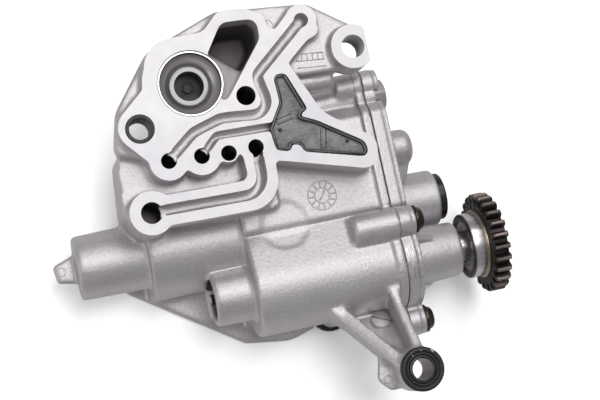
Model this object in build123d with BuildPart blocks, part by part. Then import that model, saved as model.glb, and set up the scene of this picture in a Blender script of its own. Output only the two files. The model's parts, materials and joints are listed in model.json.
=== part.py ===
"""Engine oil pump with a sliding gear unit, in millimetres.

The origin is the centre of the locating sleeve on the machined mounting face. +X runs along the drive shaft to the
drive gear, +Z points out of the mounting face, and the pump lies on its back at the lowest Z.
"""
from build123d import *

import os
from math import acos, atan2, cos, degrees, hypot, pi, radians, sin, sqrt, tan

os.makedirs("parts", exist_ok=True)

# Levels along Z, from the machined mounting face at zero
DECK_Z = -6.0
LONG_GROOVE_Z = -6.8
LOOP_GROOVE_Z = -8.5
BLOCK_Z = -12.0
PLATE_Z = -15.0
SHOULDER_Z = -22.0
BACK_Z = -66.5
BACK_PLATE = 4.5

# Shaft axis and slide axis, each as (y, z)
SHAFT_AXIS = (-73.7, -33.5)
GEAR_CENTRES = 26.6
SLIDE_DROP = 9.0
SLIDE_AXIS = (
    SHAFT_AXIS[0] + sqrt(GEAR_CENTRES**2 - SLIDE_DROP**2),
    SHAFT_AXIS[1] - SLIDE_DROP,
)
CHAMBER_OUTER_R = 20.5
SLIDE_OUTER_R = 20.2
REAR_BOSS_R = 12.2
TUBE_R = 14.0

# Stations along the shaft, X
TUBE_END_X = -34.5
TUBE_STEP_X = -4.3
REAR_BOSS_X = 19.2
BODY_X = 36.3
PARTING_X = 102.2
FLANGE_BAND = 4.0
FLANGE_LIP = 1.0
COVER_FLANGE = 7.4
COVER_STEP = 0.3
COVER_X = PARTING_X + COVER_FLANGE
FRONT_BOSS_X = 131.0
CUP_X = 129.2

# Pump gears
PUMP_TEETH = 10
PUMP_PRESSURE = 28.0
PUMP_ADDENDUM = 0.9
PUMP_DEDENDUM = 1.15
PUMP_BACKLASH = 0.12
PUMP_GEAR_WIDTH = 29.8
DRIVEN_GEAR_WIDTH = 25.6
PUMP_MODULE = GEAR_CENTRES / PUMP_TEETH
PUMP_TIP_R = PUMP_MODULE * (PUMP_TEETH / 2 + PUMP_ADDENDUM)
TIP_GAP = 0.09
CHAMBER_R = PUMP_TIP_R + TIP_GAP
END_GAP = 0.1

# Drive gear
DRIVE_TEETH = 25
DRIVE_MODULE = 1.65
DRIVE_PRESSURE = 20.0
DRIVE_TIP_R = DRIVE_MODULE * (DRIVE_TEETH / 2 + 1)
DRIVE_GEAR_X = 142.6
DRIVE_GEAR_WIDTH = 7.2
HUB_X = 135.4
HUB_R = 14.5

# Shafts, bushes and running gaps
SHAFT_R = 7.0
BUSH_R = 9.0
AXLE_R = 5.0
RUNNING_GAP = 0.04
FIT_GAP = 0.01
REAR_SEAT = 6.0
SHAFT_START_X = REAR_BOSS_X + REAR_SEAT
SHAFT_END_X = DRIVE_GEAR_X + DRIVE_GEAR_WIDTH + 1.5

# Slide unit
SLIDE_STROKE = 14.0
SHOE_LENGTH = 4.2
FACE_GAP = 0.05
SHOE_X = PARTING_X - END_GAP - SHOE_LENGTH
DRIVEN_GEAR_X = SHOE_X - FACE_GAP - DRIVEN_GEAR_WIDTH
REAR_PISTON_X = DRIVEN_GEAR_X - FACE_GAP
REAR_PISTON_LENGTH = 50.0
REAR_PISTON_BACK_X = REAR_PISTON_X - REAR_PISTON_LENGTH
PISTON_R = CHAMBER_R - RUNNING_GAP
STEM_R = 9.4
SPRING_BORE_R = 10.5
CAP_R = 10.5
CAP_SEAT = 4.0
CAP_HEAD = 3.6
WALL_END = 3.0
SPRING_POCKET_R = 9.6
SPRING_SEAT_X = 44.0
AXLE_X = 62.0
AXLE_END_X = 112.0
STEM_END_X = 121.5
MESH_ANGLE = degrees(atan2(SLIDE_AXIS[1] - SHAFT_AXIS[1], SLIDE_AXIS[0] - SHAFT_AXIS[0]))

# Valves in the cover and the housing, each axis as (y, z)
VALVE_AXIS = (-0.2, -29.0)
VALVE_R = 4.5
VALVE_BOSS_R = 8.0
VALVE_BARREL_R = 6.3
PLUG_R = 6.0
PLUG_HEX = 12.6
PLUG_HEAD = 5.2
SPOT_R = 7.6
SPOT_DEPTH = 3.1
WASHER = 0.8
PLUG_FACE_X = COVER_X - SPOT_DEPTH + WASHER
CONTROL_X = 82.1
CONTROL_END_X = 96.1
RELIEF_PISTON_END_X = 109.7
RELIEF_AXIS = (-24.8, -29.0)
RELIEF_R = 4.5
RELIEF_X = 119.6
RELIEF_BORE = 15.0
RELIEF_SEAT_R = 2.5

# Screws that hold the cover, each axis as (y, z)
SCREW_R = 3.0
SCREW_EAR_R = 6.6
LOWER_EAR = (SHAFT_AXIS[0] - CHAMBER_OUTER_R - 7.0, SHAFT_AXIS[1] + 0.5)
SCREW_AXES = [(5.5, -42.6), (-58.0, -15.5), LOWER_EAR, (-69.0, -56.5), (-8.0, -52.5)]
SCREW_DEPTH = 16.0
SCREW_HEAD = 4.4
BLANK_EAR = (5.2, -26.5)
BLANK_EAR_R = 6.4

# Features of the mounting face, (x, y)
SLEEVE_HOLE_R = 6.1
SLEEVE_BORE_R = 4.5
EYE_AT = (96.0, 18.5)
EYE_R = 9.6
EYE_HOLE_R = 5.0
EYE_Z = -15.6
LEG_AT = (95.6, -121.0)
LEG_EYE_R = 9.4
LEG_HOLE_R = 6.0
LEG_BUSH_BORE_R = 4.6
LEG_Z = -18.0
LEG_TOP_Z = -2.6
PORT_AT = (24.5, 15.0)
PORT_R = 13.1
PORT_RIM_R = 13.7
PORT_LAND_R = 20.2
SEAT_R = 8.4
SEAT_BORE_R = 6.8
SEAT_RING_R = 6.2
SEAT_Z = -6.3
SEAT_END_Z = -13.0
PORT_FLOOR_Z = -34.0
KIDNEY_FLOOR_Z = -35.0
VALVE_TOP_Z = -12.2
BLIND_HOLE_AT = (46.2, 5.8)
BLIND_HOLE_R = 4.1
OIL_HOLE_R = 3.3
OIL_HOLES = [(9.0, -15.2), (22.8, -15.7), (34.1, -16.6), (45.8, -16.2)]
OIL_HOLE_Z = -30.0
POCKET_Z = -5.0
POCKET_GAP = 0.1
SEAL_WIDTH = 1.3
DOWEL_AXES = [(LOWER_EAR[0] + 3.7, LOWER_EAR[1] - 6.5), (-28.0, -55.0)]
DOWEL_R = 2.5
DOWEL_EAR_R = 5.2
DOWEL_HALF = 5.0
END_HOLE_AT = (-2.2, -34.9)
END_HOLE_R = 4.5
END_BOSS_R = 9.2
INLET_AT = (75.4, -90.2)
INLET_R = 6.5
INLET_BORE_R = 4.6
INLET_RING_R = 9.3

# Outlines in the face plane: each corner is (x, y, corner radius)
DECK_OUTLINE = [
    (-11.9, -7.8, 4), (-7.8, 9.6, 10), (9.6, 32.3, 14), (41.8, 44.5, 8), (81.2, 41.4, 7),
    (99.0, 28.8, 3), (98.7, 10.8, 3), (66.2, 11.3, 2), (49.8, -12.9, 0), (-0.2, -12.0, 0),
]
LAND_OUTLINE = [
    (-12.7, 1.3, 9), (6.3, 17.6, 3), (6.9, 35.1, 13), (33.8, 35.3, 7), (42.0, 43.2, 5),
    (53.0, 42.5, 7), (60.7, 38.2, 1), (61.2, 33.3, 1), (64.0, 31.1, 1), (71.9, 38.2, 0),
    (81.0, 37.9, 0), (83.1, 26.6, 3.5), (76.9, 24.5, 3), (66.8, 16.2, 1), (77.1, -7.1, 14),
    (97.3, -21.7, 6), (96.0, -35.3, 6), (52.6, -23.1, 1.5), (52.0, -42.2, 13), (-2.3, -41.3, 0),
    (-2.1, -28.7, 0), (40.1, -29.1, 3), (39.4, -12.7, 4), (30.8, -12.5, 3), (30.3, -19.5, 0),
    (22.7, -20.4, 0), (9.0, -19.7, 0), (1.7, -15.2, 1),
]
WING_OUTLINE = [
    (60.3, 15.0, 1), (66.8, 15.2, 1), (77.1, -7.1, 14), (97.3, -21.7, 6), (96.0, -35.3, 6),
    (52.6, -23.1, 1), (52.9, -8.9, 1),
]
POCKET_OUTLINE = [
    (59.2, 12.4, 2.2), (64.6, 12.3, 2.2), (70.8, -4.3, 1), (66.6, -6.6, 0.8), (73.7, -9.9, 1.5),
    (91.8, -22.0, 2.4), (93.7, -29.4, 2.6), (65.5, -21.9, 1), (64.6, -18.8, 1), (61.1, -17.8, 0.8),
    (60.2, -20.7, 1), (53.9, -19.2, 2), (53.2, -9.7, 1.5), (59.6, 0.5, 3),
]
KIDNEY_OUTLINE = [
    (30.9, 21.5, 0), (42.0, 37.9, 4.5), (57.3, 37.4, 4), (56.9, 28.4, 4), (38.3, 5.5, 2), (31.1, 5.5, 0),
]
BLOCK_OUTLINE = [(-10.6, -6.3, 4), (-13.3, -37.8, 6), (53.3, -41.9, 3), (53.9, -7.4, 0)]
BACK_OUTLINE = [
    (-13.9, -62.3, 2), (34.8, -95.6, 6), (55.3, -98.6, 14), (70.4, -94.2, 6), (98.4, -89.7, 4),
    (99.6, -21.7, 6), (29.6, -20.5, 6), (-9.6, -35.8, 6),
]

# Grooves: end points, corner radii, width
LONG_GROOVE = [(76.2, 33.4), (52.4, 13.5), (55.7, -3.4), (34.0, -1.6), (21.4, -5.4), (9.0, -15.2)]
LONG_GROOVE_R = [3, 6, 10, 8]
SHORT_GROOVE = [(22.8, -15.7), (30.5, -8.5), (55.9, -9.0)]
SHORT_GROOVE_R = [2.5]
LOOP_GROOVE = [(46.0, -16.2), (45.7, -35.5), (-2.2, -34.7)]
LOOP_GROOVE_R = [8]
GROOVE_W = 4.5
SHORT_GROOVE_W = 3.5
GROOVE_END_R = 3.1


def along(x, y=0.0, z=0.0):
    """Plane square to the shaft at station x: its own x is the part's Y, its own y is the part's Z."""
    return Plane((x, y, z), x_dir=(0, 1, 0), z_dir=(1, 0, 0))


def rounded(corners, mode=Mode.ADD):
    """Face with rounded corners, added to the sketch that is open."""
    with BuildLine() as outline:
        FilletPolyline(*[(x, y) for x, y, r in corners], radius=[r for x, y, r in corners], close=True)
    return make_face(outline.line.edges(), mode=mode)


def barrel(x0, x1, radius, axis, mode=Mode.ADD):
    """Round bar or bore along X, from x0 to x1."""
    with Locations(along(x0, *axis)):
        Cylinder(radius, x1 - x0, align=(Align.CENTER, Align.CENTER, Align.MIN), mode=mode)


def turned(axis, corners, mode=Mode.ADD):
    """Solid of revolution about a line along X: each corner is (x, radius, corner radius)."""
    y, z = axis
    with BuildSketch(Plane((0, y, z), x_dir=(1, 0, 0), z_dir=(0, -1, 0))) as profile:
        rounded(corners)
    revolve(profile.sketch, axis=Axis((0, y, z), (1, 0, 0)), mode=mode)


def turned_upright(at, corners, mode=Mode.ADD):
    """Solid of revolution about a line along Z: each corner is (radius, z, corner radius)."""
    x, y = at
    with BuildSketch(Plane((x, y, 0), x_dir=(1, 0, 0), z_dir=(0, -1, 0))) as profile:
        rounded(corners)
    revolve(profile.sketch, axis=Axis((x, y, 0), (0, 0, 1)), mode=mode)


def post(at, radius, z0, z1, mode=Mode.ADD):
    """Round post or hole along Z, from z0 up to z1."""
    with Locations((*at, z0)):
        Cylinder(radius, z1 - z0, align=(Align.CENTER, Align.CENTER, Align.MIN), mode=mode)


def groove(points, corner_radii, width):
    """Groove of constant width that follows a bent line, for the sketch that is open."""
    with BuildLine() as middle:
        FilletPolyline(*points, radius=corner_radii)
    trace(middle.line.edges(), line_width=width)


def wall(start, end, profile, thickness):
    """Upright wall from start to end: the profile's corners are (share of the way, z)."""
    length = hypot(end[0] - start[0], end[1] - start[1])
    way = ((end[0] - start[0]) / length, (end[1] - start[1]) / length, 0)
    with BuildSketch(Plane((*start, 0), x_dir=way, z_dir=(way[1], -way[0], 0))) as side:
        Polygon(*[(share * length, z) for share, z in profile], align=None)
    extrude(side.sketch, amount=thickness / 2, both=True)


def involute(angle):
    return tan(angle) - angle


def draw_gear(module, teeth, pressure, addendum, dedendum, backlash, phase=0.0):
    """Involute gear outline, for the sketch that is open. phase turns the first tooth, in degrees."""
    pitch_r = module * teeth / 2
    base_r = pitch_r * cos(radians(pressure))
    tip_r = pitch_r + addendum * module
    root_r = pitch_r - dedendum * module
    half_tooth = (pi / 2 - backlash / module) / teeth + involute(radians(pressure))
    start_r = max(base_r, root_r) * 1.0005
    steps = [start_r + (tip_r - start_r) * i / 4 for i in range(5)]
    flank = [(r, half_tooth - involute(acos(base_r / r))) for r in steps]
    upper = [(r * cos(a), r * sin(a)) for r, a in flank]
    lower = [(x, -y) for x, y in upper]
    foot = (root_r * 0.96, upper[0][1])
    with BuildLine() as outline:
        Spline(*upper)
        Spline(*lower)
        ThreePointArc(upper[-1], (tip_r, 0), lower[-1])
        Polyline(upper[0], foot, (foot[0], -foot[1]), lower[0])
    tooth = make_face(outline.line.edges(), mode=Mode.PRIVATE)
    Circle(root_r)
    with PolarLocations(0, teeth, start_angle=phase):
        add(tooth)


def coil(axis, x0, x1, mean_r, wire_r, turns):
    """Helical spring along X whose wire stays between x0 and x1."""
    y, z = axis
    height = x1 - x0 - 2 * wire_r
    with BuildLine() as line:
        Helix(height / turns, height, mean_r, center=(x0 + wire_r, y, z), direction=(1, 0, 0))
    wire = line.line.edges()[0]
    with BuildSketch(Plane(origin=wire @ 0, z_dir=wire % 0)) as section:
        RegularPolygon(wire_r, 8)
    sweep(section.sketch, path=wire, is_frenet=True)


def chamber_section(shaft_lobe_r, slide_lobe_r):
    """Two-lobed section of the body round both axes, for the sketch that is open."""
    with BuildSketch() as lobes:
        with Locations(SHAFT_AXIS):
            Circle(shaft_lobe_r)
        with Locations(SLIDE_AXIS):
            Circle(slide_lobe_r)
        make_hull()
    add(lobes.sketch)


def neck(z_half, trim=0.0):
    """Neck that ties the lower screw boss to the shaft lobe, for the sketch that is open."""
    y, z = LOWER_EAR
    inner_y, half = SHAFT_AXIS[0] - CHAMBER_OUTER_R + 4, z_half - trim
    rounded([(y, z + half, 0), (y, z - half, 0), (inner_y, z - half, 0), (inner_y, z + half, 0)])


def flange_section(trim=0.0):
    """Outline that housing and cover share at the parting plane, for the sketch that is open."""
    chamber_section(CHAMBER_OUTER_R + FLANGE_LIP - trim, SLIDE_OUTER_R + FLANGE_LIP - trim)
    rounded([(5.0 - trim, -30.0, 4), (7.0 - trim, -54.0, 6), (-52.0, -62.0 + trim, 6), (-52.0, -17.6 - trim, 3),
             (-8.0, -17.6 - trim, 4)])
    neck(4.5, trim)
    with Locations(*SCREW_AXES):
        Circle(SCREW_EAR_R - trim)
    with Locations(*DOWEL_AXES):
        Circle(DOWEL_EAR_R - trim)
    with Locations(BLANK_EAR):
        Circle(BLANK_EAR_R - trim)
    with Locations(VALVE_AXIS):
        Circle(VALVE_BOSS_R - trim)
    with Locations(RELIEF_AXIS):
        Circle(RELIEF_R + 3.5 - trim)


# Pump housing
with BuildPart() as kidney:
    with BuildSketch(Plane.XY.offset(KIDNEY_FLOOR_Z)):
        rounded(KIDNEY_OUTLINE)
    extrude(amount=1 - KIDNEY_FLOOR_Z)
    split(bisect_by=Plane((36.3, 27.2, -9.0), z_dir=(0.63, 0.76, 0.16)), keep=Keep.TOP)

with BuildPart() as kidney_ramp:
    with BuildSketch(Plane.XY.offset(-14)):
        rounded(KIDNEY_OUTLINE)
    extrude(amount=15)
    split(bisect_by=Plane((36.3, 27.2, -9.0), z_dir=(0.28, 0.34, 0.9)), keep=Keep.TOP)

with BuildPart() as leg_web:
    with BuildSketch(Plane.XY.offset(-50)):
        Polygon((60.5, -85.1), (96.5, -85.7), (99.0, -113.7), (90.9, -118.6), align=None)
    extrude(amount=50)
    with BuildSketch(along(58)):
        Polygon((-80, -35), (-80, -30), (-94, -30), (-113, -15.5), (-122, -15.5), (-122, -18.5), (-113, -18.5),
                (-95, -35), align=None)
    extrude(amount=44, mode=Mode.INTERSECT)

with BuildPart() as pump_housing:
    # Plate behind the mounting face, with the raised lands
    with BuildSketch(Plane.XY.offset(PLATE_Z)):
        rounded(DECK_OUTLINE)
    extrude(amount=DECK_Z - PLATE_Z)
    post(EYE_AT, EYE_R, EYE_Z, 0)
    with BuildSketch(Plane.XY.offset(PLATE_Z)):
        rounded(LAND_OUTLINE)
        for at, land_r in ((PORT_AT, PORT_LAND_R), (END_HOLE_AT, END_BOSS_R), (OIL_HOLES[0], 8.2),
                           (OIL_HOLES[1], 8.0), (LONG_GROOVE[0], 6.8)):
            with Locations(at):
                Circle(land_r)
    extrude(amount=-PLATE_Z)
    with BuildSketch(Plane.XY.offset(SHOULDER_Z)):
        rounded(WING_OUTLINE)
    extrude(amount=-SHOULDER_Z)

    # Galleries under the plate
    with BuildSketch(Plane.XY.offset(-44)):
        rounded(BLOCK_OUTLINE)
    extrude(amount=44 + BLOCK_Z)
    with BuildSketch(Plane.XY.offset(-42)):
        with Locations(PORT_AT):
            Circle(17)
        with Locations((49.5, 30)):
            Circle(12.5)
        with Locations(BLIND_HOLE_AT):
            Circle(8)
        make_hull()
    extrude(amount=42 + PLATE_Z)

    # Two-lobed body, its upper shoulder, and the back plate
    with BuildSketch(along(BODY_X)):
        chamber_section(CHAMBER_OUTER_R, SLIDE_OUTER_R)
        rounded([(4.0, -31.0, 3), (5.0, -56.0, 6), (-50.0, -62.0, 4), (-50.0, -18.6, 0), (-9.0, -18.6, 3)])
        rounded([(SHAFT_AXIS[0] + 12, SHAFT_AXIS[1], 0), (SHAFT_AXIS[0] + 12, BACK_Z + 2, 0),
                 (SHAFT_AXIS[0] - 14, BACK_Z + 2, 0), (SHAFT_AXIS[0] - 14, SHAFT_AXIS[1], 0)])
    extrude(amount=PARTING_X - BODY_X)
    with BuildSketch(Plane.XY.offset(BACK_Z)):
        rounded(BACK_OUTLINE)
    extrude(amount=BACK_PLATE)
    with BuildSketch(along(TUBE_STEP_X)):
        with Locations(SLIDE_AXIS):
            Circle(SLIDE_OUTER_R)
        rounded([(SLIDE_AXIS[0] - SLIDE_OUTER_R, SLIDE_AXIS[1], 0), (SLIDE_AXIS[0] - SLIDE_OUTER_R, BACK_Z, 0),
                 (-30.0, BACK_Z, 0), (-30.0, SLIDE_AXIS[1], 0)])
    extrude(amount=BODY_X - TUBE_STEP_X)
    turned(SLIDE_AXIS, [(TUBE_END_X, 0, 0), (TUBE_END_X, TUBE_R, 1.5), (0, TUBE_R + 0.6, 0), (0, 0, 0)])
    turned(SHAFT_AXIS, [(REAR_BOSS_X, 0, 0), (REAR_BOSS_X, REAR_BOSS_R, 1.0), (BODY_X + 1, REAR_BOSS_R + 0.3, 0),
                        (BODY_X + 1, 0, 0)])
    with BuildSketch(along(REAR_BOSS_X + 3)):
        rounded([(SHAFT_AXIS[0] - 8, SHAFT_AXIS[1], 0), (SHAFT_AXIS[0] - 8, BACK_Z, 0),
                 (SHAFT_AXIS[0] + 8, BACK_Z, 0), (SHAFT_AXIS[0] + 8, SHAFT_AXIS[1], 0)])
    extrude(amount=BODY_X - REAR_BOSS_X)
    post(END_HOLE_AT, END_BOSS_R, SLIDE_AXIS[1], PLATE_Z)

    # Flange at the parting plane with its screw bosses
    with BuildSketch(along(PARTING_X - FLANGE_BAND)):
        flange_section()
    extrude(amount=FLANGE_BAND)
    with BuildSketch(along(PARTING_X - DOWEL_HALF - 3)):
        neck(4.0)
        with Locations(*DOWEL_AXES):
            Circle(DOWEL_EAR_R)
    extrude(amount=DOWEL_HALF + 3)
    turned(SCREW_AXES[1], [(81.8, 0, 0), (81.8, 6.7, 1.6), (PARTING_X, 6.9, 0), (PARTING_X, 0, 0)])
    for axis in (SCREW_AXES[0], SCREW_AXES[2]):
        turned(axis, [(PARTING_X - SCREW_DEPTH - 4, 0, 0), (PARTING_X - SCREW_DEPTH - 4, 6.2, 2),
                      (PARTING_X, SCREW_EAR_R - 0.3, 0), (PARTING_X, 0, 0)])
    turned(BLANK_EAR, [(89.5, 0, 0), (89.5, BLANK_EAR_R - 0.3, 1.6), (PARTING_X, BLANK_EAR_R, 0),
                       (PARTING_X, 0, 0)])
    turned(VALVE_AXIS, [(79.5, 0, 0), (79.5, VALVE_BARREL_R - 0.2, 1), (PARTING_X, VALVE_BARREL_R, 0),
                        (PARTING_X, 0, 0)])
    turned((9.0, -17.0), [(70.0, 0, 0), (70.0, 5.0, 2), (88.0, 5.2, 1), (88.0, 0, 0)])

    # Bracket leg
    post(LEG_AT, LEG_EYE_R, LEG_Z, LEG_TOP_Z)
    add(leg_web.part)
    wall((65.0, -83.0), (89.5, -118.0), [(0, -38), (0, -19), (0.25, -18), (0.95, -4), (1, -4), (1, LEG_Z)], 5.6)
    wall((94.6, -84.0), (96.8, -113.7), [(0, -38), (0, -16), (0.25, -14), (0.95, -4), (1, -4), (1, LEG_Z)], 4.4)

    # Casting lugs and the inlet neck
    with BuildSketch(Plane.XY.offset(SLIDE_AXIS[1] - 1.5)):
        rounded([(-30.9, -42.0, 0), (-35.7, -42.6, 0), (-44.3, -45.7, 1.5), (-43.4, -53.5, 1.5), (-34.0, -55.2, 0),
                 (-30.9, -55.2, 0)])
    extrude(amount=3.0)
    with BuildSketch(Plane.XY.offset(LEG_Z)):
        rounded([(88.0, -109.0, 0), (82.0, -112.0, 1.5), (79.3, -122.5, 3.5), (84.5, -128.0, 2.5),
                 (95.0, -127.5, 1), (96.0, -115.0, 0)])
    extrude(amount=3.0)
    post(INLET_AT, INLET_RING_R + 0.3, BACK_Z, BACK_Z + 6, mode=Mode.SUBTRACT)
    post(INLET_AT, INLET_R, BACK_Z, SHAFT_AXIS[1])

    # Grooves, pocket and port
    with BuildSketch(Plane.XY.offset(LONG_GROOVE_Z)):
        groove(LONG_GROOVE, LONG_GROOVE_R, GROOVE_W)
        groove(SHORT_GROOVE, SHORT_GROOVE_R, SHORT_GROOVE_W)
        with Locations(LONG_GROOVE[0]):
            Circle(GROOVE_END_R)
    extrude(amount=-LONG_GROOVE_Z, mode=Mode.SUBTRACT)
    with BuildSketch(Plane.XY.offset(LOOP_GROOVE_Z)):
        groove(LOOP_GROOVE, LOOP_GROOVE_R, GROOVE_W)
    extrude(amount=-LOOP_GROOVE_Z, mode=Mode.SUBTRACT)
    with BuildSketch(Plane.XY.offset(POCKET_Z)):
        rounded(POCKET_OUTLINE)
    extrude(amount=-POCKET_Z, mode=Mode.SUBTRACT)
    add(kidney.part, mode=Mode.SUBTRACT)
    add(kidney_ramp.part, mode=Mode.SUBTRACT)
    turned_upright(PORT_AT, [(0, 1, 0), (PORT_RIM_R, 1, 0), (PORT_RIM_R, -0.7, 0), (PORT_R, -0.7, 0.3),
                             (PORT_R - 0.6, -4.0, 3), (10.4, -7.6, 1), (SEAT_R, -7.6, 0), (SEAT_R, SEAT_END_Z, 0),
                             (SEAT_BORE_R, SEAT_END_Z, 0), (SEAT_BORE_R, PORT_FLOOR_Z, 0), (0, PORT_FLOOR_Z, 0)],
                   mode=Mode.SUBTRACT)
    for at in OIL_HOLES:
        post(at, OIL_HOLE_R, OIL_HOLE_Z, 0, mode=Mode.SUBTRACT)
    post(BLIND_HOLE_AT, BLIND_HOLE_R, OIL_HOLE_Z, 0, mode=Mode.SUBTRACT)
    post(END_HOLE_AT, END_HOLE_R, -24.0, 0, mode=Mode.SUBTRACT)
    post((0, 0), SLEEVE_HOLE_R, PLATE_Z - 1, 0, mode=Mode.SUBTRACT)
    post(EYE_AT, EYE_HOLE_R, EYE_Z - 1, 0, mode=Mode.SUBTRACT)
    post(LEG_AT, LEG_HOLE_R, LEG_Z - 1, 0, mode=Mode.SUBTRACT)
    post(INLET_AT, INLET_BORE_R, BACK_Z, BACK_Z + 14, mode=Mode.SUBTRACT)

    # Weight-saving pockets in the back plate
    with BuildSketch(Plane.XY.offset(BACK_Z)):
        for x, length in ((10.0, 22.0), (47.0, 26.0), (80.0, 26.0)):
            with Locations((x, -52.0)):
                RectangleRounded(length, 28.0, 4.0)
    extrude(amount=BACK_PLATE / 2, mode=Mode.SUBTRACT)

    # Bores along the shaft
    chamber_end = PARTING_X - PUMP_GEAR_WIDTH - END_GAP - 0.1
    barrel(chamber_end, PARTING_X, CHAMBER_R, SHAFT_AXIS, mode=Mode.SUBTRACT)
    barrel(REAR_BOSS_X, PARTING_X, BUSH_R, SHAFT_AXIS, mode=Mode.SUBTRACT)
    slide_bore_x = REAR_PISTON_X - REAR_PISTON_LENGTH - SLIDE_STROKE - 2
    barrel(slide_bore_x, PARTING_X, CHAMBER_R, SLIDE_AXIS, mode=Mode.SUBTRACT)
    barrel(TUBE_END_X + WALL_END, slide_bore_x, SPRING_BORE_R, SLIDE_AXIS, mode=Mode.SUBTRACT)
    barrel(82.0, PARTING_X, VALVE_R, VALVE_AXIS, mode=Mode.SUBTRACT)
    for axis in SCREW_AXES:
        barrel(PARTING_X - SCREW_DEPTH - 1, PARTING_X, SCREW_R, axis, mode=Mode.SUBTRACT)
    for axis in DOWEL_AXES:
        barrel(PARTING_X - DOWEL_HALF, PARTING_X, DOWEL_R, axis, mode=Mode.SUBTRACT)
    barrel(96.0, PARTING_X, RELIEF_SEAT_R, RELIEF_AXIS, mode=Mode.SUBTRACT)
pump_housing.part.label = "pump_housing"


def fin(axis, angle, corners, thickness):
    """Rib that stands on a barrel: corners are (x, distance from the axis), angle is counted from +Y to +Z."""
    y, z = axis
    c, s = cos(radians(angle)), sin(radians(angle))
    with BuildSketch(Plane((0, y, z), x_dir=(1, 0, 0), z_dir=(0, -s, c))) as side:
        Polygon(*corners, align=None)
    extrude(side.sketch, amount=thickness / 2, both=True)


def ring(at, bore_r, outer_r, z0, z1, round_r):
    """Upright ring with rounded outer edges."""
    turned_upright(at, [(bore_r, z0, 0), (outer_r, z0, round_r), (outer_r, z1, round_r), (bore_r, z1, round_r / 2)])


# Pump cover
with BuildPart() as pump_cover:
    with BuildSketch(along(PARTING_X)):
        flange_section()
    extrude(amount=COVER_FLANGE * 0.65)
    with BuildSketch(along(PARTING_X)):
        flange_section(COVER_STEP)
    extrude(amount=COVER_FLANGE)
    turned(SHAFT_AXIS, [(PARTING_X + 1, 0, 0), (PARTING_X + 1, 13.6, 0), (FRONT_BOSS_X, 12.0, 1),
                        (FRONT_BOSS_X, 0, 0)])
    turned(SLIDE_AXIS, [(PARTING_X + 1, 0, 0), (PARTING_X + 1, 13.2, 0), (CUP_X, 12.5, 1), (CUP_X, 0, 0)])
    turned(RELIEF_AXIS, [(PARTING_X + 1, 0, 0), (PARTING_X + 1, 8.2, 0), (RELIEF_X, 7.8, 4), (RELIEF_X, 0, 0)])
    fin(RELIEF_AXIS, 200, [(COVER_X - 1, 0), (RELIEF_X - 1, 2), (COVER_X + 5.5, 14), (COVER_X - 1, 16)], 9)
    for angle in (60, 180, 300):
        fin(SHAFT_AXIS, angle, [(COVER_X - 1, 5), (126, 9), (COVER_X + 1.5, 16.5), (COVER_X - 1, 16.5)], 3.2)
    barrel(PARTING_X, FRONT_BOSS_X, BUSH_R, SHAFT_AXIS, mode=Mode.SUBTRACT)
    barrel(PARTING_X, CUP_X, STEM_R + RUNNING_GAP, SLIDE_AXIS, mode=Mode.SUBTRACT)
    barrel(CUP_X - CAP_SEAT, CUP_X, CAP_R, SLIDE_AXIS, mode=Mode.SUBTRACT)
    barrel(PARTING_X, COVER_X, PLUG_R, VALVE_AXIS, mode=Mode.SUBTRACT)
    barrel(COVER_X - SPOT_DEPTH, COVER_X, SPOT_R, VALVE_AXIS, mode=Mode.SUBTRACT)
    barrel(PARTING_X, PARTING_X + RELIEF_BORE, RELIEF_R, RELIEF_AXIS, mode=Mode.SUBTRACT)
    for axis in SCREW_AXES:
        barrel(PARTING_X, COVER_X + 1, SCREW_R + 0.3, axis, mode=Mode.SUBTRACT)
    for axis in DOWEL_AXES:
        barrel(PARTING_X, PARTING_X + DOWEL_HALF, DOWEL_R, axis, mode=Mode.SUBTRACT)
pump_cover.part.label = "pump_cover"

# Screws and dowels of the cover
with BuildPart() as cover_screws:
    for axis in SCREW_AXES:
        turned(axis, [(PARTING_X - SCREW_DEPTH, 0, 0), (PARTING_X - SCREW_DEPTH, SCREW_R - 0.02, 0.6),
                      (COVER_X, SCREW_R - 0.02, 0), (COVER_X, 6.15, 0), (COVER_X + 1.4, 6.15, 0.5),
                      (COVER_X + 1.6, 5.0, 0), (COVER_X + SCREW_HEAD, 4.5, 1.6), (COVER_X + SCREW_HEAD, 0, 0)])
        with BuildSketch(along(COVER_X + SCREW_HEAD, *axis)) as socket:
            RegularPolygon(2.7, 6)
        extrude(socket.sketch, amount=-2.8, mode=Mode.SUBTRACT)
cover_screws.part.label = "cover_screws"

with BuildPart() as cover_dowels:
    for axis in DOWEL_AXES:
        turned(axis, [(PARTING_X - DOWEL_HALF + 0.1, 0, 0), (PARTING_X - DOWEL_HALF + 0.1, DOWEL_R - 0.01, 0.4),
                      (PARTING_X + DOWEL_HALF - 0.1, DOWEL_R - 0.01, 0.4), (PARTING_X + DOWEL_HALF - 0.1, 0, 0)])
cover_dowels.part.label = "cover_dowels"

# Drive line
with BuildPart() as drive_shaft:
    turned(SHAFT_AXIS, [(SHAFT_START_X, 0, 0), (SHAFT_START_X, SHAFT_R, 0.8), (SHAFT_END_X, SHAFT_R, 0.8),
                        (SHAFT_END_X, 0, 0)])
    for end_x, depth in ((SHAFT_START_X, 3), (SHAFT_END_X, -3)):
        turned(SHAFT_AXIS, [(end_x, 0, 0), (end_x, 2.2, 0), (end_x + depth, 0, 0)], mode=Mode.SUBTRACT)
drive_shaft.part.label = "drive_shaft"

with BuildPart() as rear_bush:
    bush_end_x = PARTING_X - PUMP_GEAR_WIDTH - 1
    barrel(SHAFT_START_X - 1.5, bush_end_x, BUSH_R, SHAFT_AXIS)
    barrel(SHAFT_START_X - 1.5, bush_end_x, SHAFT_R + RUNNING_GAP, SHAFT_AXIS, mode=Mode.SUBTRACT)
rear_bush.part.label = "rear_bush"

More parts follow.
